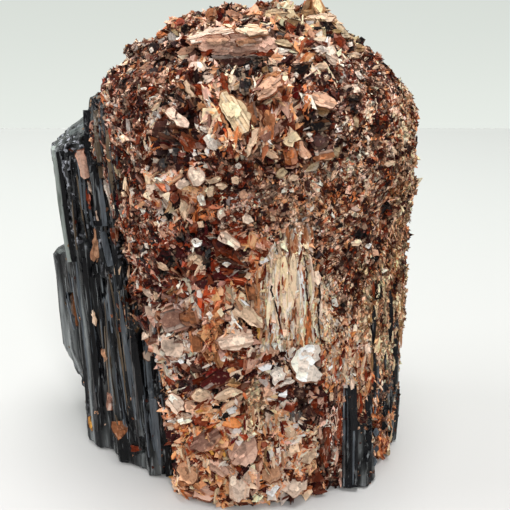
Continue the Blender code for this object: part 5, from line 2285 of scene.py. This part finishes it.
@dataclass
class RibbonSet(PlacedSet):
    """Long narrow blades and edges that follow the surface."""

    splintered: bool = False  # whether each is broken into short splinters
    step: float = 4.0  # distance between the places where each is measured, in the picture
    jump_mm: float = 2.6  # a change of depth between two places that breaks a ribbon
    darkest: float = 0.001  # the least brightness of a whole ribbon
    sunk: float = 0.22  # how much of its lift a splintered ribbon keeps

    def add(self, ribbon: Ribbon) -> None:
        """Adds one ribbon.

        Args:
            ribbon: the ribbon.
        """
        places = self.along(ribbon.path)
        seats = [self.ground.near(*place) for place in places]
        known = [i for i, seat in enumerate(seats) if seat is not None]
        if len(known) < 2:
            LOG.warning("no surface along the ribbon at %.0f, %.0f", *ribbon.path[0])
            return
        far = np.interp(np.arange(len(places)), known, [seats[i][2] for i in known])
        breaks = np.flatnonzero(np.abs(np.diff(far)) > self.jump_mm * MM) + 1
        for run in np.split(np.arange(len(places)), breaks):
            if len(run) > 2:
                self.add_run(ribbon, [places[i] for i in run], far[run])

    def add_run(self, ribbon: Ribbon, places: list[Pair], far: Array) -> None:
        """Adds a stretch of a ribbon on a surface without a step.

        Args:
            ribbon: the ribbon.
            places: the stretch's places in the picture.
            far: the surface's distance from the eye at each.
        """
        padded = np.pad(far, 2, mode="edge")
        far = np.minimum(far + 0.3 * MM, np.convolve(padded, np.full(5, 0.2), "valid"))
        far -= (ribbon.lift_mm * self.sunk if self.splintered else ribbon.lift_mm) * MM
        rays = np.array([VIEW.ray(*place) for place in places])
        line = np.array(VIEW.eye) + rays * far[:, None]
        forward = unit(np.gradient(line, axis=0))
        side = unit(np.cross(forward, -rays))
        out = np.cross(side, forward)
        roll = math.radians(ribbon.roll)
        tipped = side * math.cos(roll) - out * math.sin(roll)
        out = out * math.cos(roll) + side * math.sin(roll)
        share = np.linspace(-1, 1, len(places))
        taper = np.sqrt(np.clip(1.06 - share**2, 0, 1)) if ribbon.taper else np.ones(len(places))
        half = (ribbon.width / 2 * far / VIEW.focal * taper)[:, None]
        thick = ribbon.thick_mm * MM
        if self.splintered:
            self.add_splinters(ribbon, line, tipped, out, half)
            return
        rings = np.stack(
            [line + tipped * half, line - tipped * half,
             line - tipped * half - out * thick, line + tipped * half - out * thick], axis=1,
        )
        count = len(places)
        faces: list[Sequence[int]] = [(3, 2, 1, 0)]
        for i in range(count - 1):
            for j in range(4):
                k = (j + 1) % 4
                faces.append((4 * i + j, 4 * i + k, 4 * i + 4 + k, 4 * i + 4 + j))
        last = 4 * (count - 1)
        faces.append((last, last + 1, last + 2, last + 3))
        tone = ribbon.tone.linear * math.exp(self.rng.normal(0, 0.2))
        self.parts.add(rings.reshape(-1, 3), faces, np.clip(tone, self.darkest, BRIGHTEST))

    def add_splinters(
        self, ribbon: Ribbon, line: Array, across: Array, out: Array, half: Array
    ) -> None:
        """Adds one ribbon as a row of overlapping splinters.

        Args:
            ribbon: the ribbon.
            line: places along it.
            across: its sideways direction at each place.
            out: its outward direction at each place.
            half: half its width at each place.
        """
        rng = self.rng
        for i in range(len(line) - 1):
            ahead = line[i + 1] - line[i]
            side, up, wide = across[i], out[i], float(max(half[i, 0], half[i + 1, 0]))
            start = line[i] + side * wide * rng.normal(0, 0.35)
            end = line[i + 1] + side * wide * rng.normal(0, 0.35)
            first, last = wide * rng.uniform(0.5, 1.15), wide * rng.uniform(0.5, 1.15)
            ring = np.array([
                start - ahead * rng.uniform(0.1, 0.6), start + side * first, end + side * last,
                end + ahead * rng.uniform(0.1, 0.6), end - side * last, start - side * first,
            ]) + up * rng.normal(0, 0.12) * MM
            tone = ribbon.tone.linear * math.exp(rng.normal(0, 0.28))
            under = ring - up * ribbon.thick_mm * 1.6 * MM
            self.parts.add_slab(ring, under, np.clip(tone, DARKEST, BRIGHTEST))

    def along(self, path: Sequence[Pair]) -> list[Pair]:
        """Places at even steps along a path.

        Args:
            path: its corners.

        Returns:
            The places, with both ends.
        """
        corners = np.array(path, float)
        lengths = np.linalg.norm(np.diff(corners, axis=0), axis=1)
        total = np.concatenate([[0], np.cumsum(lengths)])
        count = max(3, int(total[-1] / self.step) + 1)
        at = np.linspace(0, total[-1], count)
        return list(zip(np.interp(at, total, corners[:, 0]), np.interp(at, total, corners[:, 1])))


@dataclass(frozen=True)
class Blades:
    """A patch of upright blades side by side."""

    tones: tuple[Tone, ...]  # the tones to pick from
    box: Oval  # left, top, right and bottom of the patch in the picture
    count: int  # how many blades
    length: Pair  # shortest and longest blade
    width: Pair  # narrowest and widest blade
    slant: Pair  # how far a blade's foot lies to the side of its head
    lift_mm: Pair = (0.15, 0.70)  # how far the lowest and the highest blade stand off the surface

    @classmethod
    def read(cls, table: str) -> "tuple[Blades, ...]":
        """Reads patches from a table, one to a line.

        Args:
            table: the lines, each with the values in the fields' order, a colon and the tones.

        Returns:
            The patches in order.
        """
        found = []
        for values, names in lines_of(table):
            box, (count,), *rest = (tuple(map(value_of, word.split(","))) for word in values)
            found.append(cls(tones(" ".join(names)), box, count, *rest))
        return tuple(found)

    def ribbons(self, rng: Rng) -> list[Ribbon]:
        """Picks the blades.

        Args:
            rng: the source of chance.

        Returns:
            The ribbons, the rear ones first.
        """
        left, top, right, bottom = self.box
        found = []
        for i in range(self.count):
            length = rng.uniform(*self.length)
            x = rng.uniform(left, right)
            y = rng.uniform(top, max(top + 1, bottom - length))
            slant = rng.uniform(*self.slant)
            waist = (x + slant * 0.5 + rng.normal(0, 0.5), y + length / 2)
            path = ((x, y), waist, (x + slant, y + length))
            tone = self.tones[rng.integers(len(self.tones))]
            lift = self.lift_mm[0] + (self.lift_mm[1] - self.lift_mm[0]) * i / self.count
            width = rng.uniform(*self.width)
            found.append(Ribbon(path, tone, width, lift, rng.uniform(-40, 40), 0.35))
        return found


BLADE_PATCHES = Blades.read("""
272,252,314,346 78 24,60 4.0,8.5 -3,4: STRAW WHITE WHITE CREAM STRAW PEARL
262,262,318,346 40 6,18 1.4,2.6 -5,3 0.75,0.95: WINE BROWN TAUPE BROWN AMBER
298,296,309,345 8 16,34 1.8,3.4 0,6 0.8,0.95: AMBER ORANGE AMBER SAND
255,268,264,345 10 14,30 1.8,3.2 -3,2 0.7,0.9: AMBER GOLD AMBER SAND
283,300,299,342 16 14,30 2.6,4.8 -1,5: WHITE CREAM WHITE STRAW
285,225,312,264 24 12,28 2.2,4.0 -3,3: SAND TAUPE TAUPE BROWN CREAM
304,262,322,330 24 12,30 2.2,4.0 -9,-2: AMBER CREAM SAND BROWN
257,266,281,345 30 16,40 2.4,5.0 -4,2: PEARL SAND AMBER CREAM CREAM WHITE
368,270,404,372 26 8,20 2.2,3.8 -2,1: OLIVE MOSS SAND STRAW BROWN
330,340,372,420 30 8,18 2.2,4.0 -2,1: AMBER SAND RUST CREAM BROWN
178,352,258,400 22 5,14 2.0,3.8 -30,-12: CREAM WINE BROWN AMBER WHITE WINE
188,396,256,426 18 5,13 2.0,4.0 -28,-12: CREAM AMBER GOLD BROWN WHITE
180,420,222,474 22 10,24 2.0,4.2 3,14: AMBER GOLD CREAM BROWN RUST
164,298,214,352 20 14,30 2.4,5.0 -16,-5: MAUVE TAUPE BROWN PLUM BLUSH
222,296,256,330 16 12,26 2.0,4.4 6,16: CREAM AMBER STRAW SAND WHITE
244,400,286,474 34 10,22 2.0,3.6 -3,3: AMBER SAND BROWN CREAM OLIVE WINE
319,385,341,484 34 12,32 2.2,4.4 -1,1: WINE RUST BROWN MAUVE BROWN BLUSH
205,96,300,160 20 16,34 2.6,5.4 -5,8: ORANGE RUST CREAM BROWN WINE
112,160,134,280 26 6,15 2.0,3.4 -2,2: SAND PINK RUST BROWN CREAM
""")


# Its grey blades are painted highlights on the crystals' ribs.
RIB_PATCHES = Blades.read("""
88,258,122,440 46 40,110 1.5,3.2 5,12 0.05,0.4: JET STEEL SLATE STEEL BARK JET
126,300,160,468 34 40,100 1.5,3.2 4,11 0.05,0.4: JET STEEL SLATE JET STEEL
64,262,76,345 10 30,60 1.4,2.4 6,11 0.05,0.2: STEEL SLATE STEEL JET
64,150,88,252 16 24,60 1.4,3.0 3,8 0.05,0.3: JET JET STEEL BARK
91,112,114,240 24 24,70 1.5,3.0 3,9 0.05,0.35: JET STEEL BARK JET SLATE
344,390,356,484 10 30,80 1.4,2.6 -1,1 0.85,1.05: STEEL JET JET SLATE
368,345,396,440 16 16,50 1.5,3.2 -1,1 0.1,0.5: JET STEEL JET BARK
""")


@dataclass(frozen=True)
class Fan:
    """Thin sheets that spread from one point like the leaves of a book held open."""

    middle: Pair  # where they meet, as a column and a row
    reach: float  # how far they reach in the picture
    start: float  # the first sheet's direction in degrees, anticlockwise from the right
    end: float  # the last sheet's direction
    count: int  # how many sheets
    tones: tuple[Tone, ...]  # the tones to pick from

    def plates(self, rng: Rng) -> list[Plate]:
        """Picks the sheets.

        Args:
            rng: the source of chance.

        Returns:
            The sheets as plates.
        """
        found = []
        x, y = self.middle
        step = (self.end - self.start) / self.count
        for i in range(self.count):
            first = math.radians(self.start + step * i + rng.normal(0, abs(step) * 0.2))
            last = first + math.radians(step) * rng.uniform(0.5, 0.95)
            reach = self.reach * rng.uniform(0.65, 1.0)
            corners = (
                (x + math.cos(first) * 2, y - math.sin(first) * 2),
                (x + math.cos(first) * reach, y - math.sin(first) * reach),
                (x + math.cos(last) * reach * 0.93, y - math.sin(last) * reach * 0.93),
            )
            tone = self.tones[rng.integers(len(self.tones))]
            found.append(Plate(corners, tone, rng.uniform(-25, 25), rng.uniform(-25, 25), 0.7, 2))
        return found


FANS = (
    Fan((187, 279), 25, 60, 185, 9, tones("WINE RUST BROWN WINE SAND")),
    Fan((181, 282), 28, 190, 262, 6, tones("BROWN OLIVE TAUPE WINE")),
    Fan((250, 268), 36, 150, 205, 7, tones("WINE PLUM WINE BROWN")),
    Fan((202, 152), 50, 120, 178, 8, tones("PLUM BROWN WINE PLUM")),
)


@dataclass(frozen=True)
class Lamp:
    """One square soft light that faces the specimen's middle."""

    name: str  # the light's name
    place: Triple  # where it is, in metres
    side: float  # its side in metres
    watts: float  # its power

    def build(self) -> None:
        """Puts the light in the scene."""
        data = bpy.data.lights.new(self.name, "AREA")
        data.size = self.side
        data.energy = self.watts
        lamp = bpy.data.objects.new(self.name, data)
        lamp.location = self.place
        away = Vector((0, 0, 0.06)) - Vector(self.place)
        lamp.rotation_euler = away.to_track_quat("-Z", "Y").to_euler()
        bpy.context.scene.collection.objects.link(lamp)


LAMPS = (
    Lamp("top_light", (0.08, -0.04, 0.80), 0.35, 6.0),
    Lamp("front_light", (0.16, -0.62, 0.62), 0.18, 3.0),
    Lamp("left_light", (-0.75, 0.02, 0.38), 0.40, 4.2),
)


@dataclass(frozen=True)
class Studio:
    """The pale table, its soft light and the camera."""

    # linear colours of the table, near the camera and far from it; the far one is a little
    # brighter, as painted light
    table: tuple[Triple, Triple] = ((0.53, 0.52, 0.51), (0.55, 0.56, 0.54))
    # painted light: linear colours that the backdrop glows with, at its foot and higher up,
    # brighter at its foot
    wall_glow: tuple[Triple, Triple] = ((0.84, 0.88, 0.83), (0.65, 0.69, 0.645))
    horizon_mm: float = 330.0  # how far behind the specimen the table ends
    # strength of the surroundings' light, away from the camera's side and towards it
    air: Pair = (0.50, 0.27)

    def build(self) -> None:
        """Puts the table, lights, surroundings and camera in the scene."""
        self.surfaces()
        self.surroundings()
        for lamp in LAMPS:
            lamp.build()
        self.camera()
        view = bpy.context.scene.view_settings
        view.view_transform = "Standard"
        view.look = "None"

    def surfaces(self) -> None:
        """Makes the table top, a little brighter far from the camera as painted light, and the
        glowing backdrop behind it, whose glow is painted light.
        """
        depth = self.horizon_mm * MM
        top = [(-1.5, -0.6, 0), (1.5, -0.6, 0), (1.5, depth, 0), (-1.5, depth, 0)]
        far = depth + 0.5
        back = [(-3, far, -1), (3, far, -1), (3, far, 2), (-3, far, 2)]
        # Painted light: the table is a little brighter far from the camera.
        table, board, shader = start_finish("pale_table", Roughness=0.6)
        shade = board.blend(board.ramp(board.place()[1], -0.1, 0.25), *self.opaque(self.table))
        board.feed(shader.inputs["Base Color"], shade)
        # Painted light: the backdrop glows instead of being lit, brighter at its foot.
        wall_glow, board, shader = start_finish(
            "glowing_wall", Roughness=0.6, Base_Color=(0, 0, 0, 1), Emission_Strength=1.0
        )
        shade = board.blend(board.ramp(board.place()[2], -0.25, 0.10), *self.opaque(self.wall_glow))
        board.feed(shader.inputs["Emission Color"], shade)
        for name, corners, finish in (("table_top", top, table), ("glowing_back_wall", back, wall_glow)):
            mesh = mesh_from_arrays(
                name, np.array(corners, float), np.arange(4), np.array([4]), np.ones((4, 3))
            )
            show(mesh, finish)

    def opaque(self, colours: Sequence[Triple]) -> list[tuple[float, ...]]:
        """The same colours with a fourth value of 1."""
        return [(*colour, 1.0) for colour in colours]

    def surroundings(self) -> None:
        """Makes the light of the room: bright behind and at the sides, dim at the camera's side."""
        world = bpy.data.worlds.new("studio_air")
        world.use_nodes = True
        board = Board(world.node_tree)
        behind = board.ramp(board.place("Generated")[1], -0.75, 0.25)
        strength = board.math("MULTIPLY", behind, self.air[0] - self.air[1])
        strength = board.math("ADD", strength, self.air[1])
        node = world.node_tree.nodes["Background"]
        node.inputs[0].default_value = (0.96, 0.98, 1.0, 1)
        board.feed(node.inputs[1], strength)
        bpy.context.scene.world = world

    def camera(self) -> None:
        """Puts the camera where the picture was measured from."""
        data = bpy.data.cameras.new("front_camera")
        data.sensor_width = 36.0
        data.lens = 36.0 * VIEW.focal / VIEW.side
        data.clip_start = 0.01
        eye = bpy.data.objects.new("front_camera", data)
        eye.location = VIEW.eye
        _, _, forward = VIEW.axes()
        eye.rotation_euler = forward.to_track_quat("-Z", "Y").to_euler()
        bpy.context.scene.collection.objects.link(eye)
        bpy.context.scene.camera = eye


def main() -> None:
    """Builds every piece of the specimen, then the studio round it."""
    logging.basicConfig(level=logging.INFO, format="%(name)s: %(message)s")
    rng = np.random.default_rng(SEED)
    ground = Ground()
    cells = cell_group()
    streaks = streak_group()
    fans = [plate for fan in FANS for plate in fan.plates(rng)]
    blades = [ribbon for patch in BLADE_PATCHES for ribbon in patch.ribbons(rng)]
    ribs = [ribbon for patch in RIB_PATCHES for ribbon in patch.ribbons(rng)]
    placed = [*HOLLOW_PLATES, *fans, *MIDDLE_PLATES, *RIGHT_PLATES, *FOOT_PLATES]
    dark = [plate for plate in placed if plate.tone in tones("ORANGE AMBER RUST BLACK")]
    pale = [plate for plate in placed if plate not in dark]
    tops = [*CREST, *TOP_BOOK, *BLADES]
    spots = [plate.spot(0.66) for plate in pale] + [plate.spot(0.98) for plate in tops]
    spots += [spot for rod in RODS for spot in rod.spots(1.0)]
    keep_clear = Clearing(spots)
    zones = ZoneMap(ZONES, [(plate.spot(0.8), plate.tone) for plate in dark])
    flakes = MicaFinish("mica_grains").material(cells)
    sheets = MicaFinish("mica_sheets", 0.42, 0.45, 0.45, 1000.0, relief=0.9).material(streaks)
    fibres = MicaFinish("mica_fibres", 0.42, 0.42, 0.6, 1300.0, 0.45, 1.6).material(streaks)
    rough = MicaFinish("mica_bed", 0.5, 0.9, 0.25, 900.0).material(cells)
    black = CrystalFinish().material(streaks, cells)
    crystals = CrystalBundle().build(black)
    bed = MicaBed().build(zones, ground, rough)
    bed_skin = Skin(bed.data)
    crystal_skin = Skin(crystals.data)
    bed_open = bed_skin.open_faces(ground.skins[CRYSTAL_NODE])
    growth = Growth(bed_skin, bed_open, zones, keep_clear)
    crystal_open = crystal_skin.open_faces(ground.skins[MICA_NODE])
    BookField("mica_books", 2300, 3, SEED + 5).build(growth, sheets)
    for number in range(1, 4):
        GrainField(f"mica_grains_{number}", 23000, SEED + number).build(growth, flakes)
    CrystalDust().build(crystal_skin, crystal_open, bed_skin, flakes)
    PlateSet("front_plates", pale, SEED + 6, sunk_mm=-0.25).build(ground, sheets)
    PlateSet("front_blades", tops, SEED + 7, sunk_mm=-0.1).build(ground, sheets)
    PlateSet("plates_on_crystal", PLATES_ON_CRYSTAL, SEED + 8, sunk_mm=-0.35).build(ground, sheets)
    RibbonSet("front_edges", EDGES, splintered=True).build(ground, sheets)
    RibbonSet("crystal_rods", [*RODS, *ribs], slot="tourmaline").build(ground, black)
    RibbonSet("fibre_blades", blades).build(ground, fibres)
    Studio().build()


if __name__ == "__main__":
    main()
